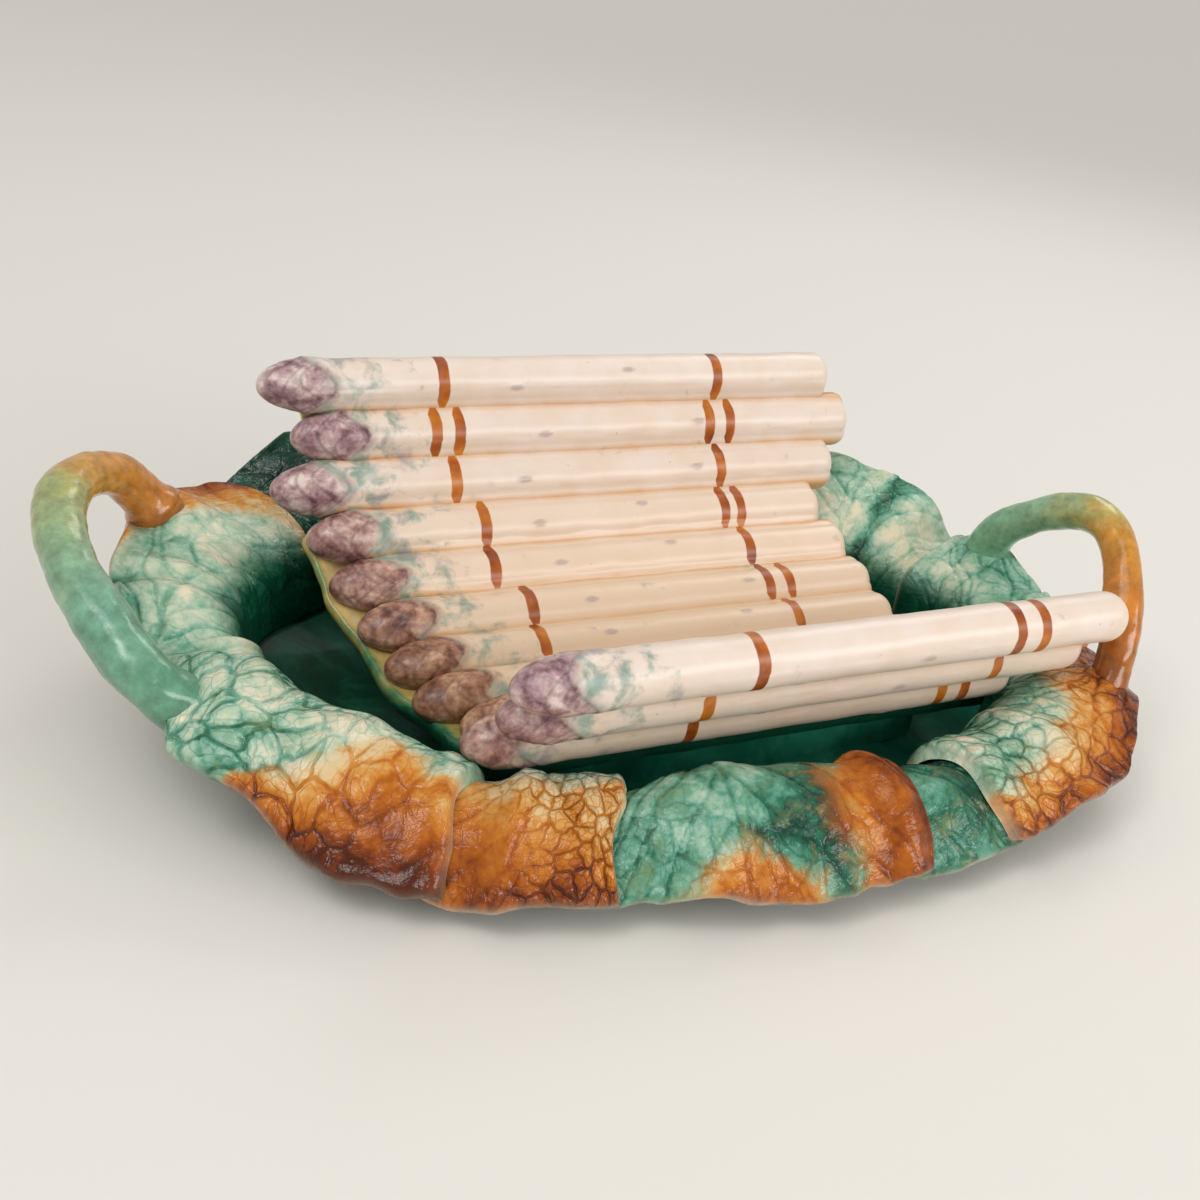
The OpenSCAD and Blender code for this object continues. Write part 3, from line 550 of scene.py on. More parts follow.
# %% Leaves
def leaf_piece(i):
    """A leaf as a closed sheet, whose points carry what the glaze needs to know."""
    start, stop = leaf_at[i] - lap, leaf_at[i + 1] + lap
    middle = np.linspace(start, stop, 40)
    wide = np.linalg.norm(np.diff(rim(middle, np.full(40, 0.6)), axis=0), axis=1).sum()
    outward = np.linspace(0, 1, 60)
    midrib = rim(np.full(60, (start + stop) / 2), outward)
    length = np.linalg.norm(np.diff(midrib, axis=0), axis=1).sum()
    nc, nr = int(wide / point_step), int(length / point_step)
    u = np.linspace(-1, 1, nc + 1)[:, None] * np.ones(nr + 1)
    r = np.ones(nc + 1)[:, None] * np.linspace(0, 1, nr + 1)
    # The outline: full in the middle, less at the sides, with uneven lobes and nicks
    place = np.stack([u * wide / 2, u * 0 + 9 * i, u * 0], -1)
    lobes = 0.034 * cloud(place, 19, 5) + 0.012 * cloud(place, 6, 6) - 0.02
    shorter = corners[i][0] * np.maximum(0, -u) ** 2.5 + corners[i][1] * np.maximum(0, u) ** 2.5
    if i in lobes_at:
        at_u, half, more = lobes_at[i]
        lobes = lobes + more * hump(u, at_u, half)
    t = (1 - shorter + lobes) * r
    sides = np.stack([r * length, r * 0 + 31 * i, np.sign(u)], -1)
    waver = 1.6 * cloud(sides, 17, 8) * np.abs(u) ** 4
    ang = mix(start, stop, (u + 1) / 2) + waver
    s = u * wide / 2
    q = r * length
    spots = np.stack([s, q, s * 0 + 50 * i], -1)
    ws, wq = s + 2.2 * cloud(spots, 11, 11), q + 2.2 * cloud(spots, 11, 12)
    veins = vein_net(i, ws, wq, wide, length)
    inward = ease(r / 0.25)
    to_left, to_right, to_edge = (1 + u) * wide / 2, (1 - u) * wide / 2, (1 - r) * length
    border = np.minimum(np.minimum(to_left, to_right), to_edge)
    calm = inward * ease(border / 2.8)
    slow = cloud(spots, 21, 13)
    relief = -1.0 * veins * calm + 1.2 * inward * slow + 0.55 * inward * cloud(spots, 8, 14)
    bead = bead_h * hump(border, bead_in, bead_half)
    rounded = np.sqrt(np.clip(1 - (1 - np.clip(border / round_in, 0, 1)) ** 2, 0, 1))
    body = clay_at(t)
    shape = swell(i, ang, t) + fold(i, ang, t)
    if i in bulges:
        high, at_u, at_t = bulges[i]
        shape = shape + high * hump(u, at_u, 0.6) * hump(t, at_t, 0.24) * ease(border / 12)
    knuckle = 0 * u
    if i in handle_seats:
        flat, high, fall = knuckles[i]
        at = over_rim(np.array([float(handle_seats[i])]), np.array([stand]), np.array([0.0]))[0]
        away = np.linalg.norm(over_rim(ang, t, 0 * t) - at, axis=-1)
        knuckle = high * hump(np.maximum(0, away - flat), 0, fall)
    low = shape - 0.5 * (1 - inward)
    rib = furrow(i, ang) * 0.6 * ease(t / merge)
    top = low + (body + bead * inward + roll(i, ang, t) - rib + relief + knuckle) * rounded
    first = np.interp(u, [-1, -0.5, 0, 0.5, 1], amber_from[i])
    amber = (r - first) / brown_fade
    darker = 0
    for at_u, at_r, half_u, half_r, strong, dark in amber_patches.get(i, []):
        patch = hump(u, at_u, half_u) * hump(r, at_r, half_r)
        amber = np.maximum(amber, strong * patch - 0.25)
        darker = darker + dark * patch
    amber = np.clip(amber + 0.16 * cloud(spots, 13, 21), -1, 1.2)
    if i in (11, 4):
        # Brown glaze gathered round two of the feet
        foot = knuckle / 4
        amber = amber + 0.25 * np.where(foot > 0.1, foot, 0)
    hollow = -0.16 * slow - 0.07 * fold(i, ang, t) - 0.03 * roll(i, ang, t)
    # Painted shade: the mark is raised, and the green made darker, along a border that lies under the
    # neighbouring leaf
    tucked = next_on_top[i] == 0, next_on_top[(i + 1) % 12] == 1
    shade = tucked[0] * np.exp(-to_left / 9) + tucked[1] * np.exp(-to_right / 9)
    pool_and_shade = pools[i] + 0.24 * veins + 0.30 * (1 - ease(r / 0.5)) + hollow + 0.45 * shade + darker
    if i in creases:
        at_u, half, dark = creases[i]
        line = hump(u - at_u - 0.05 * cloud(spots, 24, 41), 0, half)
        pool_and_shade = pool_and_shade + dark * line * inward
    pool_and_shade = pool_and_shade - 0.10 * hump(t, 0.42, 0.2)
    pool_and_shade = pool_and_shade + edge_dark[i] * ease((r - 0.70) / 0.30) * ease(amber * 2)
    base, tilt = net_tilt.get(i, (0.62, 0))
    shown = net_shares[i] * ease(base + tilt * u + 0.7 * cloud(spots, 26, 31)) * calm
    deep = 1 - ease((r - deep_to[i] + 0.07 * cloud(spots, 14, 22)) / 0.24 + 0.5)
    # A pale border: thin glaze, and partly a painted highlight along the edge
    lip_and_highlight = lip_highlight_shares[i] * hump(border, 0, 1.5) * inward * (0.6 + 0.4 * cloud(spots, 12, 25))
    marks = {"pool_and_shade": skins(pool_and_shade), "amber": skins(amber), "lip_and_highlight": skins(lip_and_highlight),
             "deep": skins(deep, np.maximum(deep, 0.55)), "net_part": skins(shown, shown * 0)}
    points = skins(over_rim(ang, t, top), over_rim(ang, t, low))
    made = piece_from(leaf_names[i] + "_glazed", points, sheet_faces(nc, nr), marks, leaf_glaze)
    plane = np.stack([ws / cell_sizes[i] + 17.3 * i, wq / cell_sizes[i], s * 0], -1)
    made.data.attributes.new("net", "FLOAT_VECTOR", "POINT").data.foreach_set(
        "vector", skins(plane).astype(np.float32).ravel())
    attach(made, "root")
    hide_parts(leaf_names[i])
    return made


leaf_slots = {1: "amber_leaf_glaze", **dict.fromkeys((3, 7, 9, 10), "deep_leaf_glaze")}
leaves = [leaf_piece(i) for i in range(12)]
print("leaves:", [len(made.data.polygons) for made in leaves], "faces")

# %% [markdown]
# The basin is the bowl that the leaves line. Nothing of it is carved, so it only needs a
# smooth skin, and the thick dark copper glaze that gathers in it. Towards the right, where
# the cradle shades it, the green is painted lighter: painted light.

# %% Basin
deep_glaze, tree, shader = new_material("pooled_copper_glaze", 0.4, 0.06, 0.06)
place = add(tree, "ShaderNodeTexCoord").node.outputs["Object"]
streaks = add(tree, "ShaderNodeTexNoise", {"Vector": place, "Scale": 38, "Detail": 5, "Roughness": 0.6,
                                           "Distortion": 0.6})
basin_green = ramp(add(tree, "ShaderNodeValToRGB", {"Fac": streaks}),
              [(0.3, "#021f14"), (0.5, "#053522"), (0.64, "#0e4f3a"), (0.8, "#2a7458")])
# Painted light: a lighter green towards the right, where the cradle shades the basin
painted_light_green = ramp(add(tree, "ShaderNodeValToRGB", {"Fac": streaks}),
               [(0.3, "#0c4a39"), (0.5, "#1a6750"), (0.64, "#2d8066"), (0.8, "#58a085")])
painted_light_part = add(tree, "ShaderNodeSeparateXYZ", {0: place})
painted_light_part = add(tree, "ShaderNodeMapRange", {"Value": painted_light_part, "From Min": -0.10, "From Max": 0.0},
                interpolation_type="SMOOTHSTEP")
basin_green = add(tree, "ShaderNodeMix", {0: painted_light_part, 6: basin_green, 7: painted_light_green},
             data_type="RGBA").node.outputs[2]
tree.links.new(basin_green, shader.inputs["Base Color"])
waviness = add(tree, "ShaderNodeBump", {"Height": streaks, "Strength": 0.3, "Distance": 0.002})
tree.links.new(waviness, shader.inputs["Normal"])

floor_a, floor_b, basin_t, foot_h = 108, 60, 5, 5
floor_z = foot_h + basin_t
steps = 240
ang = np.arange(steps) * 360 / steps


def on_oval(a, b, z):
    c, s = np.cos(np.radians(ang)), np.sin(np.radians(ang))
    return np.stack([a * c, b * s, c * 0 + z], -1) + MIDDLE


def wall_line(h, out, level):
    """One skin of the basin from the middle of its floor to the rim, ring by ring."""
    foot = over_rim(ang, ang * 0, ang * 0 + h)
    flat = on_oval(floor_a + out, floor_b + out, level)
    control = (foot + flat) / 2 - np.array([0, 0, basin_t / 2])
    rings = [on_oval((floor_a + out) * f, (floor_b + out) * f, level)
             for f in np.linspace(0.02, 1, 14)[:-1]]
    # A quadratic curve through the same three stations as the solid's wall
    bow = 2 * control - (foot + flat) / 2
    rings += [(1 - f) ** 2 * flat + 2 * f * (1 - f) * bow + f * f * foot
              for f in np.linspace(0, 1, 12)]
    rings += [over_rim(ang, ang * 0 + f, ang * 0 + h) for f in np.linspace(0, 0.46, 16)[1:]]
    return np.stack(rings, 1)


inner = wall_line(-lute, 0, floor_z)
outer = wall_line(-basin_t - lute, basin_t, foot_h)
basin = piece_from("basin_glazed", skins(inner, outer),
                   sheet_faces(steps, inner.shape[1] - 1, loop=True), {}, deep_glaze)
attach(basin, "root")
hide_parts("basin")
print("basin:", len(basin.data.polygons), "faces")

# %% [markdown]
# The cradle is a sheet of clay bent to a deep curve: a high leaning back, a floor and a
# low front wall. Its profile is drawn by arcs that meet smoothly, measured from the
# lowest line, and the spears lie along it at an even spacing.

# %% The cradle's profile
spear_d, spear_pitch, seat_rise, seat_front = 20, 19.6, 24.3, 28.4
back_lean, belly_r, belly_turn, front_r, front_turn = 17.5, 110, 100, 23.5, 149
shell_t, left_set, right_set, left_slant, right_slant, wall_set = 3.5, 37, 64, 19, 13.5, 15
seat_at, shell_first, shell_last, tip_l, cut_r = 7.36, 0.35, 8.8, 24, 5
tip_shares = [-0.06, -0.44, 0.10, -0.17, -0.17, -0.18, -0.12, -0.02, -0.18, 0.38, 0.26, 0.46]
end_shares = [0.87, 1.24, 0.70, 0.08, 0.22, 0.22, 0.04, 0.05, 0.06, 0.15, 0.92, 1.14]
back_arc = belly_r * math.radians(90 - back_lean)
floor_arc = belly_r * math.radians(belly_turn - 90)
front_arc = front_r * math.radians(front_turn - belly_turn)


def turn_at(s):
    belly = 90 + np.degrees(s / belly_r)
    front = belly_turn + np.degrees((s - floor_arc) / front_r)
    return np.where(s < floor_arc, np.maximum(back_lean, belly), np.minimum(front_turn, front))


def profile(s, h=0.0):
    """The profile's line moved h outwards, as (y, z) in the cradle's own frame."""
    turn = np.radians(turn_at(s))
    out = np.stack([np.cos(turn), -np.sin(turn)], -1)
    down = -np.stack([np.sin(turn), np.cos(turn)], -1)
    belly_mid = np.array([-seat_front, floor_z + seat_rise + belly_r])
    b = math.radians(belly_turn)
    front_mid = belly_mid + (belly_r - front_r) * np.array([math.cos(b), -math.sin(b)])
    in_belly = (s < floor_arc)[..., None]
    base = np.where(in_belly, belly_mid + belly_r * out, front_mid + front_r * out)
    extra = np.where(s < -back_arc, s + back_arc, np.maximum(0, s - floor_arc - front_arc))
    return base + extra[..., None] * down + out * np.asarray(h)[..., None]


spear_mid = profile((np.arange(12) - seat_at) * spear_pitch)
slant_from = spear_mid[3, 0]


def left_end(y):
    return (slant_from - y) * math.tan(math.radians(left_slant)) - crest_a + left_set


def right_end(y):
    return (slant_from - y) * math.tan(math.radians(right_slant)) + crest_a - right_set


def to_dish(x, yz):
    """From the cradle's own frame to the dish's."""
    return turned(np.stack([x, yz[..., 0], yz[..., 1]], -1)) + MIDDLE


print("spears lie at", spear_mid.round(1).tolist())

# %% [markdown]
# The shell shows only as a border beside the tips and as a green underside. Its glaze is
# cream-yellow near the asparagus and runs into the green of the dish lower down, so the
# colour follows the height above the floor, broken up by a little noise.

# %% Cradle shell and plinth
shell_glaze, tree, shader = new_material("running_cream_to_green_glaze", 0.4, 0.5, 0.35)
place = add(tree, "ShaderNodeTexCoord").node.outputs["Object"]
run = add(tree, "ShaderNodeAttribute", attribute_name="run").node.outputs["Fac"]
clouds = add(tree, "ShaderNodeTexNoise", {"Vector": place, "Scale": 90, "Detail": 4, "Roughness": 0.6})
wander = add(tree, "ShaderNodeMath", {0: clouds, 1: 0.5}, operation="SUBTRACT")
wander = add(tree, "ShaderNodeMath", {0: wander, 1: 0.9, 2: run}, operation="MULTIPLY_ADD")
running = ramp(add(tree, "ShaderNodeValToRGB", {"Fac": wander}),
               [(0.0, "#dfc893"), (0.26, "#cfb06a"), (0.40, "#ae9f5a"), (0.53, "#6d8d58"),
                (0.68, "#2a6e4e"), (0.9, "#0a3d2b")])
tree.links.new(running, shader.inputs["Base Color"])
drips = add(tree, "ShaderNodeBump", {"Height": clouds, "Strength": 0.6, "Distance": 0.002})
tree.links.new(drips, shader.inputs["Normal"])

spear_r = spear_d / 2
s = (np.linspace(shell_first, shell_last, 110) - seat_at) * spear_pitch
line = profile(s)
nc, nr = len(s) - 1, 90
f = np.linspace(0, 1, nr + 1)[None, :] * np.ones(nc + 1)[:, None]
y = line[:, :1] * np.ones(nr + 1)
wall = wall_set * ease((y - slant_from) / spear_r)
bulge = 1.2 * cloud(np.stack([s[:, None] * np.ones(nr + 1), f * 0, f * 0], -1), 9, 3)
x0, x1 = left_end(y) + wall + 4.0 + 1.3 * bulge, right_end(y) - 0.5
x = mix(x0, x1, 0.5 - 0.5 * np.cos(f * math.pi) * (1 - 0.25 * np.sin(f * math.pi)))
from_end = np.minimum(x - x0, x1 - x)
from_rim = np.minimum(np.arange(nc + 1), nc - np.arange(nc + 1))[:, None] * (s[1] - s[0]) + f * 0
from_border = np.minimum(from_end, from_rim)
rounding = np.sqrt(np.clip(1 - (1 - np.clip(from_border / round_in, 0, 1)) ** 2, 0, 1))
lumps = 0.9 * cloud(np.stack([x, s[:, None] + f * 0, f * 0], -1), 11, 4)
# The shell's inner skin lies between the spears' middles and their undersides, out of sight
hidden_h, border_h = 4.2, 5.5
thickness = spear_r + shell_t - border_h + lumps * 0.6
outside = profile(s[:, None] + f * 0, border_h + thickness * (0.35 + 0.65 * rounding))
hidden_side = profile(s[:, None] + f * 0, f * 0 + hidden_h)
height = np.clip((outside[..., 1] - floor_z) / 50, 0, 1)
inner_mark = (0.10 + 0.34 * (1 - ease(from_end / 3.5)) + 0.16 * (1 - height)
              + 0.10 * ease((s[:, None] + 45) / 55))
run_mark = 0.30 + 0.075 * np.minimum(from_end, from_rim + 4) - 0.15 * (height - 0.4)
run_mark = run_mark + 0.35 * (1 - ease((height - 0.1) / 0.9)) + 0.38 * ease((s[:, None] + 35) / 50)
run_mark = np.clip(np.where(x > 0, run_mark + 0.25, run_mark), 0, 1)
shell = piece_from("cradle_shell_glazed", skins(to_dish(x, outside), to_dish(x, hidden_side)),
                   sheet_faces(nc, nr), {"run": skins(run_mark, inner_mark)}, shell_glaze)
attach(shell, "root")
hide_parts("cradle_shell")
nodes["cradle_plinth"].data.materials.clear()
nodes["cradle_plinth"].data.materials.append(deep_glaze)
print("shell:", len(shell.data.polygons), "faces")

# %% [markdown]
# Spears and handles are each made by a tree of Geometry Nodes. A tree gets its inputs,
# and is run on a host mesh that is thrown away after.

# %% Trees that make pieces
# Points nearer than this, in metres, become one
weld = 0.00002


def new_tree(name, numbers, places=()):
    """A tree of Geometry Nodes with these inputs, and the sockets that give them."""
    tree = bpy.data.node_groups.new(name, "GeometryNodeTree")
    tree.interface.new_socket("Geometry", in_out="OUTPUT", socket_type="NodeSocketGeometry")
    kinds = {"Geometry": ["Geometry"], "Float": numbers, "Vector": places,
             "Material": ["Material"]}
    for kind, names in kinds.items():
        for name in names:
            tree.interface.new_socket(name, in_out="INPUT", socket_type="NodeSocket" + kind)
    return tree, tree.nodes.new("NodeGroupInput").outputs


def grown(name, mesh, group, values):
    """What a tree makes of a host mesh, as an object that rides on the body."""
    host = placed(name + "_host", mesh)
    growth = host.modifiers.new("growth", "NODES")
    growth.node_group = group
    sockets = {item.name: item.identifier for item in group.interface.items_tree
               if item.in_out == "INPUT"}
    for key, value in values.items():
        growth[sockets[key]] = value
    host.update_tag()
    graph = bpy.context.evaluated_depsgraph_get()
    mesh = bpy.data.meshes.new_from_object(
        host.evaluated_get(graph), preserve_all_data_layers=True, depsgraph=graph)
    bpy.data.objects.remove(host)
    made = placed(name + "_glazed", mesh)
    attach(made, "root")
    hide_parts(name)
    return made


print("a tree's points become one when nearer than", weld, "m")

# %% [markdown]
# All twelve spears follow one rule, so one tree of Geometry Nodes makes them: a tube
# whose radius follows the rounded tip and the softened cut end, with rows of pointed
# scales raised on the tip. Each row is a wave round the tube, and its step is what a
# thumb would feel. The tree also stores what the glaze needs: the distance from the
# tip and from the hood's edge, the grooves, the painted bands and the lines where two
# spears touch.

# %% The spear tree
spear_tree, given = new_tree("asparagus_spear", (
    "Length", "Radius", "Tip length", "Cut radius", "Before", "After", "Facing", "Band 1",
    "Band 2", "Band 3", "Band 4", "Cradle shade", "Seed", "Turn"), ("Tip place",))
tree = spear_tree
tube = add(tree, "GeometryNodeMeshCylinder", {
    "Vertices": 88, "Side Segments": 240, "Radius": 1.0, "Depth": 1.0}, fill_type="TRIANGLE_FAN")
spot = add(tree, "GeometryNodeInputPosition")
px, py, pz = add(tree, "ShaderNodeSeparateXYZ", {0: spot}).node.outputs
share = add(tree, "ShaderNodeMath", {0: pz, 1: 0.5}, operation="ADD")
# Rings crowd at the tip and at the cut end, where the shape changes fast
along = add(tree, "ShaderNodeMapRange", {"Value": share, "From Max": 0.36, "To Max": 36 * MM})
stem_run = add(tree, "ShaderNodeMath", {0: given["Length"], 1: 42 * MM}, operation="SUBTRACT")
along = add(tree, "ShaderNodeMath", {0: along, 1: add(tree, "ShaderNodeMapRange", {
    "Value": share, "From Min": 0.36, "From Max": 0.94, "To Max": stem_run})}, operation="ADD")
along = add(tree, "ShaderNodeMath", {0: along, 1: add(tree, "ShaderNodeMapRange", {
    "Value": share, "From Min": 0.94, "From Max": 1.0, "To Max": 6 * MM})}, operation="ADD")
angle = add(tree, "ShaderNodeMath", {0: py, 1: px}, operation="ARCTAN2")
rim_share = add(tree, "ShaderNodeMath", {0: add(tree, "ShaderNodeMath", {0: px, 1: 2.0},
                                                operation="POWER"),
                                         1: add(tree, "ShaderNodeMath", {0: py, 1: 2.0},
                                                operation="POWER")}, operation="ADD")
rim_share = add(tree, "ShaderNodeMath", {0: rim_share}, operation="SQRT")

# Blunt tip: the radius is the root of 1 - (1 - x)^2.3
before_tip = add(tree, "ShaderNodeMath", {0: along, 1: given["Tip length"]}, operation="DIVIDE")
before_tip = add(tree, "ShaderNodeMath", {0: 1.0, 1: before_tip}, operation="SUBTRACT")
before_tip = add(tree, "ShaderNodeMath", {0: before_tip, 1: 0.0}, operation="MAXIMUM")
tip_part = add(tree, "ShaderNodeMath", {0: before_tip, 1: 2.3}, operation="POWER")
tip_part = add(tree, "ShaderNodeMath", {0: 1.0, 1: tip_part}, operation="SUBTRACT")
tip_part = add(tree, "ShaderNodeMath", {0: tip_part}, operation="SQRT")
# Cut end: a quarter round of the given radius
to_end = add(tree, "ShaderNodeMath", {0: given["Length"], 1: along}, operation="SUBTRACT")
to_end = add(tree, "ShaderNodeMath", {0: to_end, 1: given["Cut radius"]}, operation="DIVIDE")
to_end = add(tree, "ShaderNodeMath", {0: 1.0, 1: to_end}, operation="SUBTRACT")
to_end = add(tree, "ShaderNodeMath", {0: to_end, 1: 0.0}, operation="MAXIMUM")
to_end = add(tree, "ShaderNodeMath", {0: to_end, 1: 2.0}, operation="POWER")
end_part = add(tree, "ShaderNodeMath", {0: 1.0, 1: to_end}, operation="SUBTRACT")
end_part = add(tree, "ShaderNodeMath", {0: end_part, 1: 0.0}, operation="MAXIMUM")
end_part = add(tree, "ShaderNodeMath", {0: end_part}, operation="SQRT")
end_drop = add(tree, "ShaderNodeMath", {0: 1.0, 1: end_part}, operation="SUBTRACT")
end_drop = add(tree, "ShaderNodeMath", {0: end_drop, 1: given["Cut radius"]}, operation="MULTIPLY")

# Rows of scales: where a row starts, how many scales it has, how deep they are cut
# in, and how far they stand out. The last is a hood of two broad scales, one of which
# points along the side that is seen
rows = [(3.0, 3, 5.0, 0.30), (8.5, 3, 7.5, 0.42), (14.5, 4, 8.0, 0.40), (16.0, 2, 11.5, 0.50)]
raised, groove = 0.0, 0.0
for k, (start, count, cut, height) in enumerate(rows):
    shift = add(tree, "ShaderNodeMath", {0: given["Seed"], 1: 1.7 + k, 2: k * 1.1},
                operation="MULTIPLY_ADD")
    if count == 2:
        swing = add(tree, "ShaderNodeMath", {0: shift}, operation="SINE")
        shift = add(tree, "ShaderNodeMath", {0: swing, 1: 0.3, 2: math.pi / 2}, operation="MULTIPLY_ADD")
        shift = add(tree, "ShaderNodeMath", {0: shift, 1: given["Facing"]}, operation="SUBTRACT")
    wave = add(tree, "ShaderNodeMath", {0: angle, 1: count / 2, 2: shift}, operation="MULTIPLY_ADD")
    wave = add(tree, "ShaderNodeMath", {0: wave}, operation="COSINE")
    wave = add(tree, "ShaderNodeMath", {0: wave}, operation="ABSOLUTE")
    if count == 2:
        wave = add(tree, "ShaderNodeMath", {0: wave, 1: 1.8}, operation="POWER")
    edge = add(tree, "ShaderNodeMath", {0: wave, 1: -cut * MM, 2: (start + cut) * MM},
               operation="MULTIPLY_ADD")
    past = add(tree, "ShaderNodeMath", {0: along, 1: edge}, operation="SUBTRACT")
    step = add(tree, "ShaderNodeMapRange", {"Value": past, "From Min": -0.3 * MM, "From Max": 0.9 * MM,
                                            "To Max": height * MM}, interpolation_type="SMOOTHSTEP")
    fade = add(tree, "ShaderNodeMapRange", {"Value": past, "From Min": 0.0, "From Max": 11 * MM,
                                            "To Min": 1.0, "To Max": 0.0})
    raised = add(tree, "ShaderNodeMath", {0: step, 1: fade, 2: raised}, operation="MULTIPLY_ADD")
    near = add(tree, "ShaderNodeMath", {0: past, 1: 0.2 * MM}, operation="ADD")
    near = add(tree, "ShaderNodeMath", {0: near}, operation="ABSOLUTE")
    line_part = add(tree, "ShaderNodeMapRange", {"Value": near, "From Max": 1.1 * MM, "To Min": 1.0,
                                                 "To Max": 0.0}, interpolation_type="SMOOTHSTEP")
    line_part = add(tree, "ShaderNodeMath", {0: line_part, 1: min(1, 1.5 * height)}, operation="MULTIPLY")
    groove = add(tree, "ShaderNodeMath", {0: groove, 1: line_part}, operation="MAXIMUM")

# Hand-made unevenness, 20 mm long and a third of a millimetre deep
seed_place = add(tree, "ShaderNodeCombineXYZ", {0: along, 1: given["Seed"], 2: angle})
seed_place = add(tree, "ShaderNodeVectorMath", {0: seed_place, 1: (50.0, 1.0, 0.6)},
                 operation="MULTIPLY")
uneven = add(tree, "ShaderNodeTexNoise", {"Vector": seed_place, "Scale": 1.0, "Detail": 1.0})
uneven = add(tree, "ShaderNodeMath", {0: uneven, 1: 0.5}, operation="SUBTRACT")
# Glaze fills the seam where two spears touch
touch = 0.0
for name in ("Before", "After"):
    off = add(tree, "ShaderNodeMath", {0: angle, 1: given[name]}, operation="SUBTRACT")
    off = add(tree, "ShaderNodeMath", {0: off}, operation="COSINE")
    seam = add(tree, "ShaderNodeMapRange", {"Value": off, "From Min": 0.72, "From Max": 0.97},
               interpolation_type="SMOOTHSTEP")
    touch = add(tree, "ShaderNodeMath", {0: touch, 1: seam}, operation="MAXIMUM")
behind_tip = add(tree, "ShaderNodeMapRange", {"Value": along, "From Min": 20 * MM, "From Max": 55 * MM,
                                              "To Min": 0.4 * MM, "To Max": 2.0 * MM})
fill = add(tree, "ShaderNodeMath", {0: touch, 1: behind_tip}, operation="MULTIPLY")
# Small marks of leaf scales along the stem: two for each spear, 5 mm long
bract = 0.0
for k, (far, side) in enumerate(((0.40, 0.25), (0.66, -0.15))):
    jump = add(tree, "ShaderNodeMath", {0: given["Seed"], 1: 2.3 + k}, operation="MULTIPLY")
    jump = add(tree, "ShaderNodeMath", {0: jump}, operation="SINE")
    at = add(tree, "ShaderNodeMath", {0: given["Length"], 1: far}, operation="MULTIPLY")
    at = add(tree, "ShaderNodeMath", {0: jump, 1: 16 * MM, 2: at}, operation="MULTIPLY_ADD")
    dx = add(tree, "ShaderNodeMath", {0: along, 1: at}, operation="SUBTRACT")
    dx = add(tree, "ShaderNodeMath", {0: dx, 1: 3.4 * MM}, operation="DIVIDE")
    aim = add(tree, "ShaderNodeMath", {0: jump, 1: 0.25, 2: given["Facing"]}, operation="MULTIPLY_ADD")
    da = add(tree, "ShaderNodeMath", {0: angle, 1: aim}, operation="SUBTRACT")
    da = add(tree, "ShaderNodeMath", {0: da, 1: -side}, operation="ADD")
    da = add(tree, "ShaderNodeMath", {0: da, 1: 0.5}, operation="MULTIPLY")
    da = add(tree, "ShaderNodeMath", {0: da}, operation="SINE")
    da = add(tree, "ShaderNodeMath", {0: da, 1: 0.08}, operation="DIVIDE")
    both = add(tree, "ShaderNodeMath", {0: add(tree, "ShaderNodeMath", {0: dx, 1: 2.0},
                                               operation="POWER"),
                                        1: add(tree, "ShaderNodeMath", {0: da, 1: 2.0},
                                               operation="POWER")}, operation="ADD")
    dash = add(tree, "ShaderNodeMapRange", {"Value": both, "From Min": 0.35, "From Max": 1.0,
                                            "To Min": 1.0, "To Max": 0.0},
               interpolation_type="SMOOTHSTEP")
    bract = add(tree, "ShaderNodeMath", {0: bract, 1: dash}, operation="MAXIMUM")
radius = add(tree, "ShaderNodeMath", {0: given["Radius"], 1: tip_part}, operation="MULTIPLY")
radius = add(tree, "ShaderNodeMath", {0: radius, 1: end_drop}, operation="SUBTRACT")
lump = add(tree, "ShaderNodeMath", {0: uneven, 1: 1.1 * MM, 2: raised}, operation="MULTIPLY_ADD")
lump = add(tree, "ShaderNodeMath", {0: lump, 1: fill}, operation="ADD")
lump = add(tree, "ShaderNodeMath", {0: bract, 1: 0.25 * MM, 2: lump}, operation="MULTIPLY_ADD")
lump = add(tree, "ShaderNodeMath", {0: lump, 1: 0.25 * MM}, operation="SUBTRACT")
lump = add(tree, "ShaderNodeMath", {0: lump, 1: tip_part}, operation="MULTIPLY")
radius = add(tree, "ShaderNodeMath", {0: radius, 1: lump}, operation="ADD")
radius = add(tree, "ShaderNodeMath", {0: radius, 1: rim_share}, operation="MULTIPLY")
radius = add(tree, "ShaderNodeMath", {0: radius, 1: 0.0}, operation="MAXIMUM")
side_y = add(tree, "ShaderNodeMath", {0: add(tree, "ShaderNodeMath", {0: angle}, operation="COSINE"),
                                      1: radius}, operation="MULTIPLY")
side_z = add(tree, "ShaderNodeMath", {0: add(tree, "ShaderNodeMath", {0: angle}, operation="SINE"),
                                      1: radius}, operation="MULTIPLY")

# What the glaze needs to know: how far the nearest band's middle is
band = 1.0
for name in ("Band 1", "Band 2", "Band 3", "Band 4"):
    off = add(tree, "ShaderNodeMath", {0: along, 1: given[name]}, operation="SUBTRACT")
    off = add(tree, "ShaderNodeMath", {0: uneven, 1: 2.0 * MM, 2: off}, operation="MULTIPLY_ADD")
    off = add(tree, "ShaderNodeMath", {0: off}, operation="ABSOLUTE")
    band = add(tree, "ShaderNodeMath", {0: band, 1: off}, operation="MINIMUM")
shape = tube
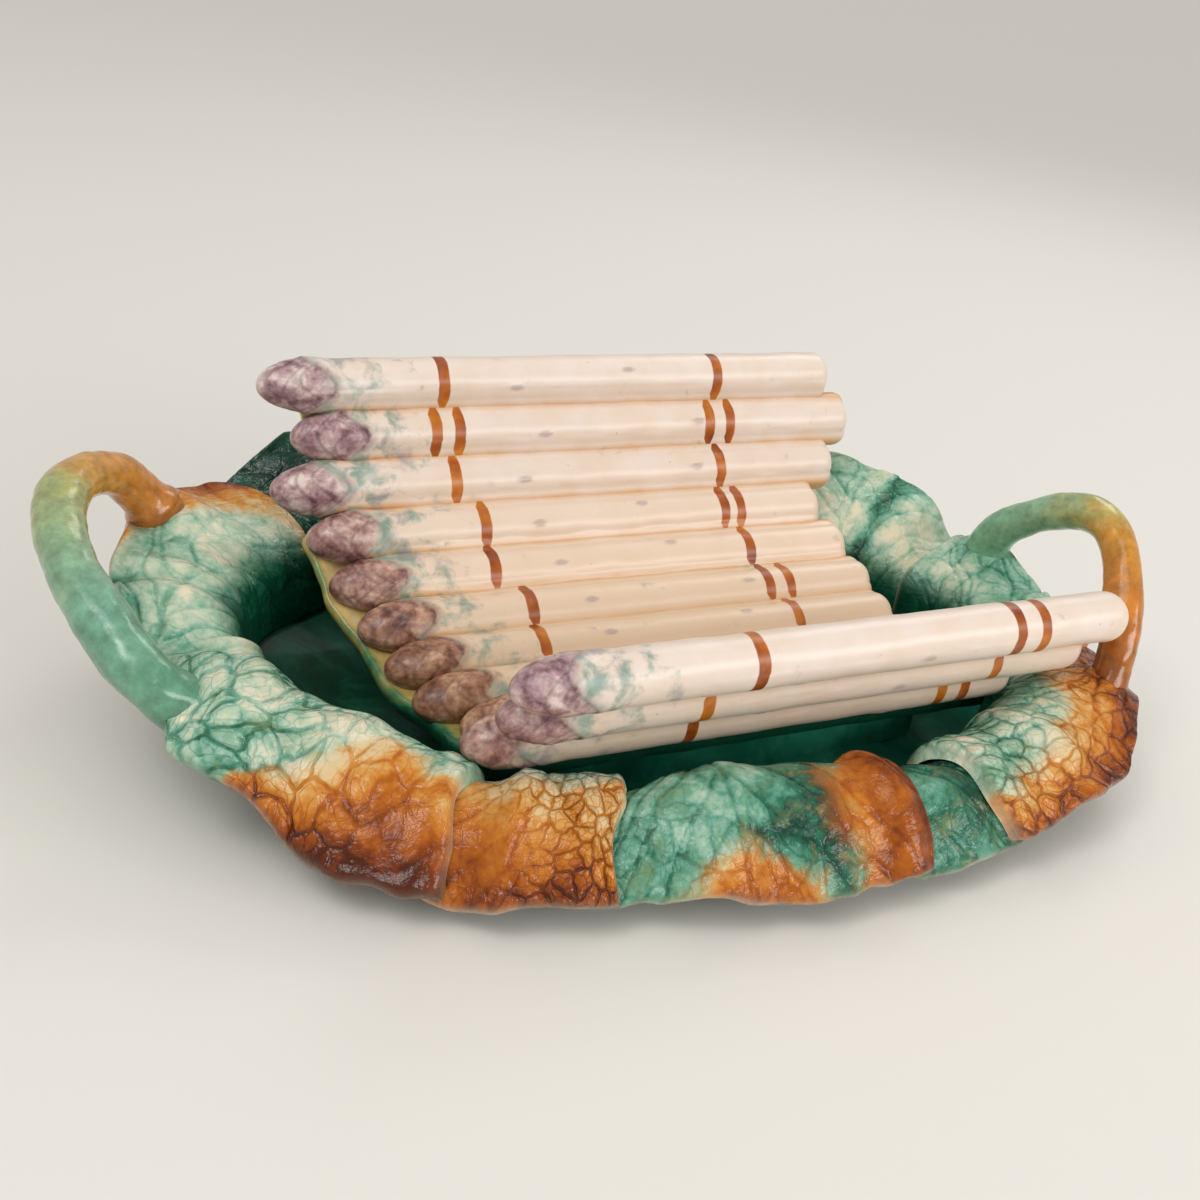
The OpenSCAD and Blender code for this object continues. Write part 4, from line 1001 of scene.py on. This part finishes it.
# The painted shade of a spear deep in the cradle is stored with the rest
for name, value in (("along", along), ("hood", past), ("groove", groove), ("band", band),
                    ("touch", touch), ("cradle_shade", given["Cradle shade"]), ("bract", bract)):
    shape = add(tree, "GeometryNodeStoreNamedAttribute", {
        "Geometry": shape, "Name": name, "Value": value}, data_type="FLOAT", domain="POINT")
shape = add(tree, "GeometryNodeSetPosition", {
    "Geometry": shape, "Position": add(tree, "ShaderNodeCombineXYZ", {0: along, 1: side_y, 2: side_z})})
shape = add(tree, "GeometryNodeMergeByDistance", {"Geometry": shape, "Distance": weld})
shape = add(tree, "GeometryNodeTransform", {
    "Geometry": shape, "Translation": given["Tip place"],
    "Rotation": add(tree, "ShaderNodeCombineXYZ", {2: given["Turn"]})})
shape = add(tree, "GeometryNodeSetShadeSmooth", {"Geometry": shape, "Shade Smooth": True})
shape = add(tree, "GeometryNodeRealizeInstances", {"Geometry": shape})
shape = add(tree, "GeometryNodeSetMaterial", {"Geometry": shape, "Material": given["Material"]})
tree.links.new(shape, tree.nodes.new("NodeGroupOutput").inputs[0])
print("spear tree:", len(tree.nodes), "nodes")

# %% [markdown]
# The spears' own glaze is a clear ivory one. Deep in the cradle the ivory is painted
# darker and warmer, and the tips there browner: painted shade. The tips were brushed with
# manganese purple, behind them copper green was dabbed on with a sponge, and the twine is
# a stroke of iron brown. Glaze pools to an ochre line where two spears touch and darkens
# the grooves of the scales.

# %% Spear glaze
spear_glaze, tree, shader = new_material("ivory_lead_glaze", 0.36, 0.34, 0.3, 0.3)
place = add(tree, "ShaderNodeTexCoord").node.outputs["Object"]
marks = {name: add(tree, "ShaderNodeAttribute", attribute_name=name).node.outputs["Fac"]
         for name in ("along", "hood", "groove", "band", "touch", "cradle_shade", "bract")}
soft = add(tree, "ShaderNodeTexNoise", {"Vector": place, "Scale": 65, "Detail": 3, "Roughness": 0.55})
sponge = add(tree, "ShaderNodeTexNoise", {"Vector": place, "Scale": 120, "Detail": 4, "Roughness": 0.6,
                                          "Distortion": 0.35})
fine = add(tree, "ShaderNodeTexNoise", {"Vector": place, "Scale": 420, "Detail": 3, "Roughness": 0.6})
# Painted shade: deep in the cradle the ivory is darker and warmer
ivory = add(tree, "ShaderNodeMix", {0: marks["cradle_shade"], 6: colour("#e6d6cb"), 7: colour("#ddbd98")},
            data_type="RGBA").node.outputs[2]
cool = add(tree, "ShaderNodeMapRange", {"Value": soft, "From Min": 0.35, "From Max": 0.7, "To Max": 0.5})
ivory = add(tree, "ShaderNodeMix", {0: cool, 6: ivory, 7: colour("#dcc2a4")},
            data_type="RGBA").node.outputs[2]
pooled_seam = add(tree, "ShaderNodeMath", {0: marks["touch"], 1: 1.3}, operation="POWER")
pooled_seam = add(tree, "ShaderNodeMath", {0: pooled_seam,
                                           1: add(tree, "ShaderNodeMath", {0: soft, 1: 0.3},
                                                  operation="ADD")}, operation="MULTIPLY")
ivory = add(tree, "ShaderNodeMix", {0: pooled_seam, 6: ivory, 7: colour("#cf9448")},
            data_type="RGBA").node.outputs[2]
# Grey-mauve marks of the stem's scales, and a few dark pin holes
dash = add(tree, "ShaderNodeMath", {0: marks["bract"], 1: 0.48}, operation="MULTIPLY")
ivory = add(tree, "ShaderNodeMix", {0: dash, 6: ivory, 7: colour("#8d7e80")},
            data_type="RGBA").node.outputs[2]
pins = add(tree, "ShaderNodeMapRange", {"Value": fine, "From Min": 0.72, "From Max": 0.78, "To Max": 0.6})
ivory = add(tree, "ShaderNodeMix", {0: pins, 6: ivory, 7: colour("#8a6a48")},
            data_type="RGBA").node.outputs[2]
# Green and mauve dabs from the scales to about 70 mm behind the tip
fading = add(tree, "ShaderNodeMapRange", {"Value": marks["along"], "From Min": 22 * MM,
                                          "From Max": 72 * MM, "To Min": 0.13, "To Max": -0.16})
dabs = add(tree, "ShaderNodeMath", {0: sponge, 1: fading}, operation="ADD")
dabs = add(tree, "ShaderNodeMapRange", {"Value": dabs, "From Min": 0.47, "From Max": 0.74,
                                        "To Max": 0.82}, interpolation_type="SMOOTHSTEP")
dab_tone = ramp(add(tree, "ShaderNodeValToRGB", {"Fac": soft}),
                [(0.35, "#8fa79c"), (0.5, "#5a8577"), (0.62, "#8f8c94")])
glaze = add(tree, "ShaderNodeMix", {0: dabs, 6: ivory, 7: dab_tone}, data_type="RGBA").node.outputs[2]
# Purple tip, mottled, out to the hood's edge
border = add(tree, "ShaderNodeMath", {0: sponge, 1: 15 * MM, 2: marks["hood"]}, operation="MULTIPLY_ADD")
tip_mask = add(tree, "ShaderNodeMapRange", {"Value": border, "From Min": 4.5 * MM, "From Max": 11.5 * MM,
                                            "To Min": 1.0, "To Max": 0.0},
               interpolation_type="SMOOTHSTEP")
mottle = add(tree, "ShaderNodeMath", {0: fine, 1: 0.35, 2: -0.175}, operation="MULTIPLY_ADD")
mottle = add(tree, "ShaderNodeMath", {0: sponge, 1: 0.9, 2: mottle}, operation="MULTIPLY_ADD")
purple = ramp(add(tree, "ShaderNodeValToRGB", {"Fac": mottle}),
              [(0.26, "#6a464f"), (0.38, "#96737a"), (0.50, "#bb9f9f"), (0.62, "#dccac2")])
dusky = ramp(add(tree, "ShaderNodeValToRGB", {"Fac": mottle}),
             [(0.26, "#57321f"), (0.38, "#87583f"), (0.50, "#ad7e62"), (0.64, "#d3aa88")])
# Painted shade: deep in the cradle the tips turn a darker brown
tip_shade = add(tree, "ShaderNodeMath", {0: marks["cradle_shade"], 1: 1.3}, operation="MULTIPLY")
brushed_tip = add(tree, "ShaderNodeMix", {0: tip_shade, 6: purple, 7: dusky},
                  data_type="RGBA").node.outputs[2]
glaze = add(tree, "ShaderNodeMix", {0: tip_mask, 6: glaze, 7: brushed_tip},
            data_type="RGBA").node.outputs[2]
cut = add(tree, "ShaderNodeMath", {0: marks["groove"], 1: tip_mask}, operation="MULTIPLY")
cut = add(tree, "ShaderNodeMath", {0: cut, 1: 0.62}, operation="MULTIPLY")
glaze = add(tree, "ShaderNodeMix", {0: cut, 6: glaze, 7: colour("#33202a")},
            data_type="RGBA").node.outputs[2]
# Twine bands: a stroke of iron brown, a little thinner in places
brushed = add(tree, "ShaderNodeMapRange", {"Value": sponge, "From Min": 0.2, "From Max": 0.45,
                                           "To Min": 0.85})
stripe = add(tree, "ShaderNodeMath", {0: sponge, 1: 1.2 * MM, 2: marks["band"]}, operation="MULTIPLY_ADD")
stripe = add(tree, "ShaderNodeMath", {0: marks["touch"], 1: 1.5 * MM, 2: stripe},
             operation="MULTIPLY_ADD")
stripe = add(tree, "ShaderNodeMapRange", {"Value": stripe, "From Min": 2.6 * MM, "From Max": 3.1 * MM,
                                          "To Min": 1.0, "To Max": 0.0}, interpolation_type="SMOOTHSTEP")
brushed = add(tree, "ShaderNodeMath", {0: brushed, 1: stripe}, operation="MULTIPLY")
twine = ramp(add(tree, "ShaderNodeValToRGB", {"Fac": soft}),
             [(0.3, "#7c3406"), (0.5, "#a65208"), (0.7, "#c87718")])
glaze = add(tree, "ShaderNodeMix", {0: brushed, 6: glaze, 7: twine}, data_type="RGBA").node.outputs[2]
tree.links.new(glaze, shader.inputs["Base Color"])
skin = add(tree, "ShaderNodeBump", {"Height": soft, "Strength": 0.2, "Distance": 0.0015})
tree.links.new(skin, shader.inputs["Normal"])
print("spear glaze:", len(tree.nodes), "nodes")

# %% [markdown]
# The places of the painted bands were measured on the photograph, spear by spear,
# along each spear's own length. A spear without a second band gets a band far off it.

# %% Spears
bands = [(-66.0, 55.4), (-70.0, -60.3, 51.7, 61.6), (-63.5, 54.9), (-54.8, 52.7, 60.5),
         (-55.3, 59.1), (-45.5, 60.6, 70.5), (-47.2, 65.1), (-40.0, 68.0), (-30.0, 78.0, 88.0),
         (-17.5, 91.5, 102.6), (-20.0, 104.2), (-8.4, 101.2, 113.0)]
# How much painted shade each spear gets: most deep in the cradle, least on the front wall
cradle_shade = [0.0, 0.05, 0.1, 0.35, 0.5, 0.65, 0.75, 0.85, 0.8, 0.45, 0.2, 0.05]


def spear_piece(i):
    y = spear_mid[i, 0]
    tip = left_end(y) - tip_shares[i] * tip_l
    length = right_end(y) + end_shares[i] * tip_l - tip
    # The first and the last spear have their one neighbour on both sides
    beside = (i - 1 if i else 1, i + 1 if i < 11 else 10)
    before, after = (spear_mid[k] - spear_mid[i] for k in beside)
    # The side that is seen: into the cradle, or outwards on the front wall
    turn = math.radians(float(turn_at(np.array((i - seat_at) * spear_pitch))))
    facing = np.array([-math.cos(turn), math.sin(turn)]) * (-1 if i > 8 else 1)
    where = to_dish(np.array(tip), spear_mid[i]) * MM
    name = "spear_%02d" % (i + 1)
    at = [(b - tip) * MM for b in bands[i]] + [-9.0] * (4 - len(bands[i]))
    # The front spears' cut ends are rounder
    values = {"Length": length * MM, "Radius": spear_r * MM, "Tip length": tip_l * MM,
              "Cut radius": (8.5 if i > 8 else cut_r) * MM,
              "Before": math.atan2(before[1], before[0]),
              "After": math.atan2(after[1], after[0]),
              "Facing": math.atan2(facing[1], facing[0]), "Cradle shade": cradle_shade[i],
              "Seed": 1.37 * (i + 1), "Turn": TURN, "Tip place": [float(v) for v in where],
              "Material": spear_glaze, **{"Band %d" % (k + 1): at[k] for k in range(4)}}
    made = grown(name, bpy.data.meshes.new(name + "_host"), spear_tree, values)
    return made


spears = [spear_piece(i) for i in range(12)]
print("spears:", len(spears), "with", len(spears[0].data.polygons), "faces each")

# %% [markdown]
# The handles are branches, bent while the clay was soft and luted to the leaves. A
# second tree sweeps a round along a path and lets the radius swell into the flared
# ends, into collars and knots, with shallow furrows like bark.

# %% The branch tree
branch_tree, given = new_tree("branch_handle", (
    "Radius", "Start girth", "End girth", "Start flare", "End flare", "Collar", "Collar place",
    "Knot height", "Knots", "Bark", "Seed"))
tree = branch_tree
path = add(tree, "GeometryNodeMeshToCurve", {"Mesh": given["Geometry"]})
path = add(tree, "GeometryNodeResampleCurve", {"Curve": path, "Count": 150})
way = add(tree, "GeometryNodeSplineParameter").node.outputs["Factor"]
back = add(tree, "ShaderNodeMath", {0: 1.0, 1: way}, operation="SUBTRACT")
girth = add(tree, "ShaderNodeMapRange", {"Value": way, "To Min": given["Start girth"],
                                         "To Max": given["End girth"]})
for share, flare_input in ((way, "Start flare"), (back, "End flare")):
    near = add(tree, "ShaderNodeMapRange", {"Value": share, "From Max": 0.17, "To Min": 1.0,
                                            "To Max": 0.0})
    near = add(tree, "ShaderNodeMath", {0: near, 1: 2.4}, operation="POWER")
    girth = add(tree, "ShaderNodeMath", {0: near, 1: given[flare_input], 2: girth},
                operation="MULTIPLY_ADD")
ring = add(tree, "ShaderNodeMath", {0: way, 1: given["Collar place"]}, operation="SUBTRACT")
ring = add(tree, "ShaderNodeMath", {0: ring, 1: 55.0}, operation="MULTIPLY")
ring = add(tree, "ShaderNodeMath", {0: ring, 1: 2.0}, operation="POWER")
ring = add(tree, "ShaderNodeMath", {0: ring, 1: -1.0}, operation="MULTIPLY")
ring = add(tree, "ShaderNodeMath", {0: ring}, operation="EXPONENT")
girth = add(tree, "ShaderNodeMath", {0: ring, 1: given["Collar"], 2: girth}, operation="MULTIPLY_ADD")
knot = add(tree, "ShaderNodeMath", {0: way, 1: given["Knots"]}, operation="MULTIPLY")
knot = add(tree, "ShaderNodeMath", {0: knot, 1: 2 * math.pi}, operation="MULTIPLY")
knot = add(tree, "ShaderNodeMath", {0: knot}, operation="SINE")
girth = add(tree, "ShaderNodeMath", {0: knot, 1: given["Knot height"], 2: girth},
            operation="MULTIPLY_ADD")
girth = add(tree, "ShaderNodeMath", {0: girth, 1: given["Radius"]}, operation="MULTIPLY")
path = add(tree, "GeometryNodeStoreNamedAttribute", {"Geometry": path, "Name": "way", "Value": way},
           data_type="FLOAT", domain="POINT")
section = add(tree, "GeometryNodeCurvePrimitiveCircle", {"Resolution": 56, "Radius": 1.0})
shape = add(tree, "GeometryNodeCurveToMesh", {
    "Curve": path, "Profile Curve": section, "Scale": girth, "Fill Caps": True})
spot = add(tree, "GeometryNodeInputPosition")
shift = add(tree, "ShaderNodeCombineXYZ", {0: given["Seed"], 1: given["Seed"], 2: given["Seed"]})
spot = add(tree, "ShaderNodeVectorMath", {0: spot, 1: shift}, operation="ADD")
lumps = add(tree, "ShaderNodeTexNoise", {"Vector": spot, "Scale": 55, "Detail": 2.0})
lumps = add(tree, "ShaderNodeMath", {0: lumps, 1: 0.5}, operation="SUBTRACT")
furrows = add(tree, "ShaderNodeTexNoise", {"Vector": spot, "Scale": 190, "Detail": 2.0})
furrows = add(tree, "ShaderNodeMath", {0: furrows, 1: 0.5}, operation="SUBTRACT")
lumps = add(tree, "ShaderNodeMath", {0: furrows, 1: 0.25, 2: lumps}, operation="MULTIPLY_ADD")
lumps = add(tree, "ShaderNodeMath", {0: lumps, 1: given["Bark"]}, operation="MULTIPLY")
normal = add(tree, "GeometryNodeInputNormal")
push = add(tree, "ShaderNodeVectorMath", {0: normal, "Scale": lumps}, operation="SCALE")
shape = add(tree, "GeometryNodeSetPosition", {"Geometry": shape, "Offset": push})
shape = add(tree, "GeometryNodeMergeByDistance", {"Geometry": shape, "Distance": weld})
shape = add(tree, "GeometryNodeSetShadeSmooth", {"Geometry": shape, "Shade Smooth": True})
shape = add(tree, "GeometryNodeRealizeInstances", {"Geometry": shape})
shape = add(tree, "GeometryNodeSetMaterial", {"Geometry": shape, "Material": given["Material"]})
tree.links.new(shape, tree.nodes.new("NodeGroupOutput").inputs[0])
print("branch tree:", len(tree.nodes), "nodes")

# %% [markdown]
# Along each branch the glaze changes from brown to green, and the two were allowed to
# run into each other, through a yellow-green where they mix.

# %% Handles
collar_rise = 0.6


def seat(i, ang):
    """Where a handle's end stands on leaf i, and the way up from it."""
    a, t = np.array([float(ang)]), np.array([stand])
    here = leaf_top(i, a, t)[0]
    round_way = leaf_top(i, a + 1, t)[0] - leaf_top(i, a - 1, t)[0]
    out_way = leaf_top(i, a, t + 0.01)[0] - leaf_top(i, a, t - 0.01)[0]
    away = np.cross(out_way, round_way)
    return here, away / np.linalg.norm(away)


def branch_path(i, j, ends, side, bow, lift, skews, lean, d):
    """The handle's centre line, from inside one leaf to inside the other."""
    tops = []
    for leaf, ang in ((i, ends[0]), (j, ends[1])):
        here, away = seat(leaf, ang)
        lean_way = np.array([math.cos(math.radians(ang)), math.sin(math.radians(ang)), 0])
        tops.append((here, here + lean * lean_way + away * d * collar_rise, away))
    w = np.linspace(0, 1, 60)[:, None]
    arch = [side * bow * np.sin(math.pi * w ** skews[0]), w * 0,
            lift * np.sin(math.pi * w ** skews[1])]
    run = mix(tops[0][1], tops[1][1], w) + np.concatenate(arch, 1)
    line = np.concatenate([[tops[0][0] - tops[0][2] * 4], run, [tops[1][0] - tops[1][2] * 4]])
    for _ in range(12):
        line[1:-1] = (line[:-2] + 2 * line[1:-1] + line[2:]) / 4
    return line


def branch_glaze(name, stops):
    made, tree, shader = new_material(name, 0.2, 0.3, 0.4)
    place = add(tree, "ShaderNodeTexCoord").node.outputs["Object"]
    way = add(tree, "ShaderNodeAttribute", attribute_name="way").node.outputs["Fac"]
    clouds = add(tree, "ShaderNodeTexNoise", {"Vector": place, "Scale": 60, "Detail": 4,
                                              "Roughness": 0.6})
    centred = add(tree, "ShaderNodeMath", {0: clouds, 1: 0.5}, operation="SUBTRACT")
    wander = add(tree, "ShaderNodeMath", {0: centred, 1: 0.35, 2: way}, operation="MULTIPLY_ADD")
    flowing = ramp(add(tree, "ShaderNodeValToRGB", {"Fac": wander}), stops)
    spots = add(tree, "ShaderNodeTexNoise", {"Vector": place, "Scale": 170, "Detail": 4,
                                             "Roughness": 0.65})
    shade = add(tree, "ShaderNodeMapRange", {"Value": spots, "From Min": 0.3, "From Max": 0.7,
                                             "To Min": 0.62, "To Max": 1.2})
    tone = add(tree, "ShaderNodeCombineXYZ", {0: shade, 1: shade, 2: shade})
    flowing = add(tree, "ShaderNodeMix", {0: 1.0, 6: flowing, 7: tone}, data_type="RGBA",
                  blend_type="MULTIPLY").node.outputs[2]
    tree.links.new(flowing, shader.inputs["Base Color"])
    bump = add(tree, "ShaderNodeBump", {"Height": spots, "Strength": 0.3, "Distance": 0.001})
    tree.links.new(bump, shader.inputs["Normal"])
    return made


left_glaze = branch_glaze("iron_to_copper_glaze", [
    (0.0, "#a8611f"), (0.18, "#cb863a"), (0.34, "#c4943f"), (0.43, "#a8a766"), (0.54, "#8eab83"),
    (0.72, "#74a48a"), (0.9, "#62987b"), (1.0, "#4f886b")])
right_glaze = branch_glaze("copper_to_iron_glaze", [
    (0.0, "#69a886"), (0.3, "#90b890"), (0.46, "#b8b168"), (0.56, "#c98a2e"), (0.8, "#c0721e"),
    (1.0, "#8f4d18")])


def handle_piece(name, path, values):
    host_mesh = bpy.data.meshes.new(name + "_path")
    host_mesh.from_pydata((path * MM).tolist(), [(k, k + 1) for k in range(len(path) - 1)], [])
    made = grown(name, host_mesh, branch_tree, values)
    return made


left_d, right_d = 16.5, 15
left_path = branch_path(11, 0, (handle_seats[11], handle_seats[0]), -1, 28, 21.5, (0.86, 0.64),
                        9, left_d)
left_handle = handle_piece("handle_left", left_path, {
    "Radius": left_d / 2 * MM, "Start girth": 0.96, "End girth": 1.14, "Start flare": 0.3,
    "End flare": 0.3, "Collar": 0.22, "Collar place": 0.06, "Knot height": 0.04, "Knots": 3.0,
    "Bark": 2.4 * MM, "Seed": 0.31, "Material": left_glaze})
right_path = branch_path(5, 4, (handle_seats[5], handle_seats[4]), 1, 16.5, 35.5, (1, 0.98),
                         -2, right_d)
right_handle = handle_piece("handle_right", right_path, {
    "Radius": right_d / 2 * MM, "Start girth": 1.08, "End girth": 0.98, "Start flare": 0.25,
    "End flare": 0.3, "Collar": 0.0, "Collar place": 0.1, "Knot height": 0.05, "Knots": 3.0,
    "Bark": 2.0 * MM, "Seed": 0.77, "Material": right_glaze})
print("handles:", len(left_handle.data.polygons), len(right_handle.data.polygons), "faces")

# %% [markdown]
# The foot ring is dipped like the rest but wiped before firing, so that it does not stick
# to the kiln shelf: the cream body shows, slightly rough. Its CAD solid is right as it is.

# %% Foot ring
wiped, tree, shader = new_material("wiped_earthenware", 0.6, 0.15)
place = add(tree, "ShaderNodeTexCoord").node.outputs["Object"]
body_noise = add(tree, "ShaderNodeTexNoise", {"Vector": place, "Scale": 220, "Detail": 4})
clay = ramp(add(tree, "ShaderNodeValToRGB", {"Fac": body_noise}), [(0.3, "#c9b48f"), (0.6, "#e2d3b4")])
tree.links.new(clay, shader.inputs["Base Color"])
nodes["foot_ring"].data.materials.clear()
nodes["foot_ring"].data.materials.append(wiped)
print("foot ring keeps its solid")

# %% [markdown]
# The stage is a plain pale floor with soft studio light: one large lamp over the left
# shoulder for the long highlights on the spears, a weaker one from the right, and an
# even, pale surround.

# %% Floor and light
floor_mesh = bpy.data.meshes.new("floor")
reach = 60.0
corner_signs = (-1, -1), (1, -1), (1, 1), (-1, 1)
floor_mesh.from_pydata([(x * reach, y * reach, 0) for x, y in corner_signs], [], [(0, 1, 2, 3)])
floor_paint, tree, shader = new_material("matt_floor_paint", 0.9, 0.0)
shader.inputs["Base Color"].default_value = colour("#e4e0d9")
floor_mesh.materials.append(floor_paint)
floor = placed("floor", floor_mesh)

world = bpy.data.worlds.new("studio")
bpy.context.scene.world = world
world.use_nodes = True
world.node_tree.nodes["Background"].inputs["Color"].default_value = colour("#f2f0ec")
world.node_tree.nodes["Background"].inputs["Strength"].default_value = 0.60


def lamp(name, place, power, size, high):
    data = bpy.data.lights.new(name, "AREA")
    data.shape = "RECTANGLE"
    data.energy, data.size, data.size_y = power, size, high
    made = placed(name, data)
    aim = np.array([0, 0, 0.05]) - np.array(place)
    made.location = place
    made.rotation_euler = Vector(aim).to_track_quat("-Z", "Y").to_euler()
    return made


lamp("key window", (-0.8, -0.5, 1.3), 3.5, 0.45, 0.45)
lamp("near window", (1.02, -1.30, 0.70), 13.0, 1.4, 0.5)
lamp("far window", (0.9, 0.9, 1.2), 3.5, 0.6, 0.6)
sun_data = bpy.data.lights.new("soft daylight", "SUN")
sun_data.energy, sun_data.angle = 0.7, math.radians(40)
sun = placed("soft daylight", sun_data)
sun.rotation_euler = Vector((0.45, 0.35, -1.0)).to_track_quat("-Z", "Y").to_euler()
bpy.context.scene.view_settings.view_transform = "Standard"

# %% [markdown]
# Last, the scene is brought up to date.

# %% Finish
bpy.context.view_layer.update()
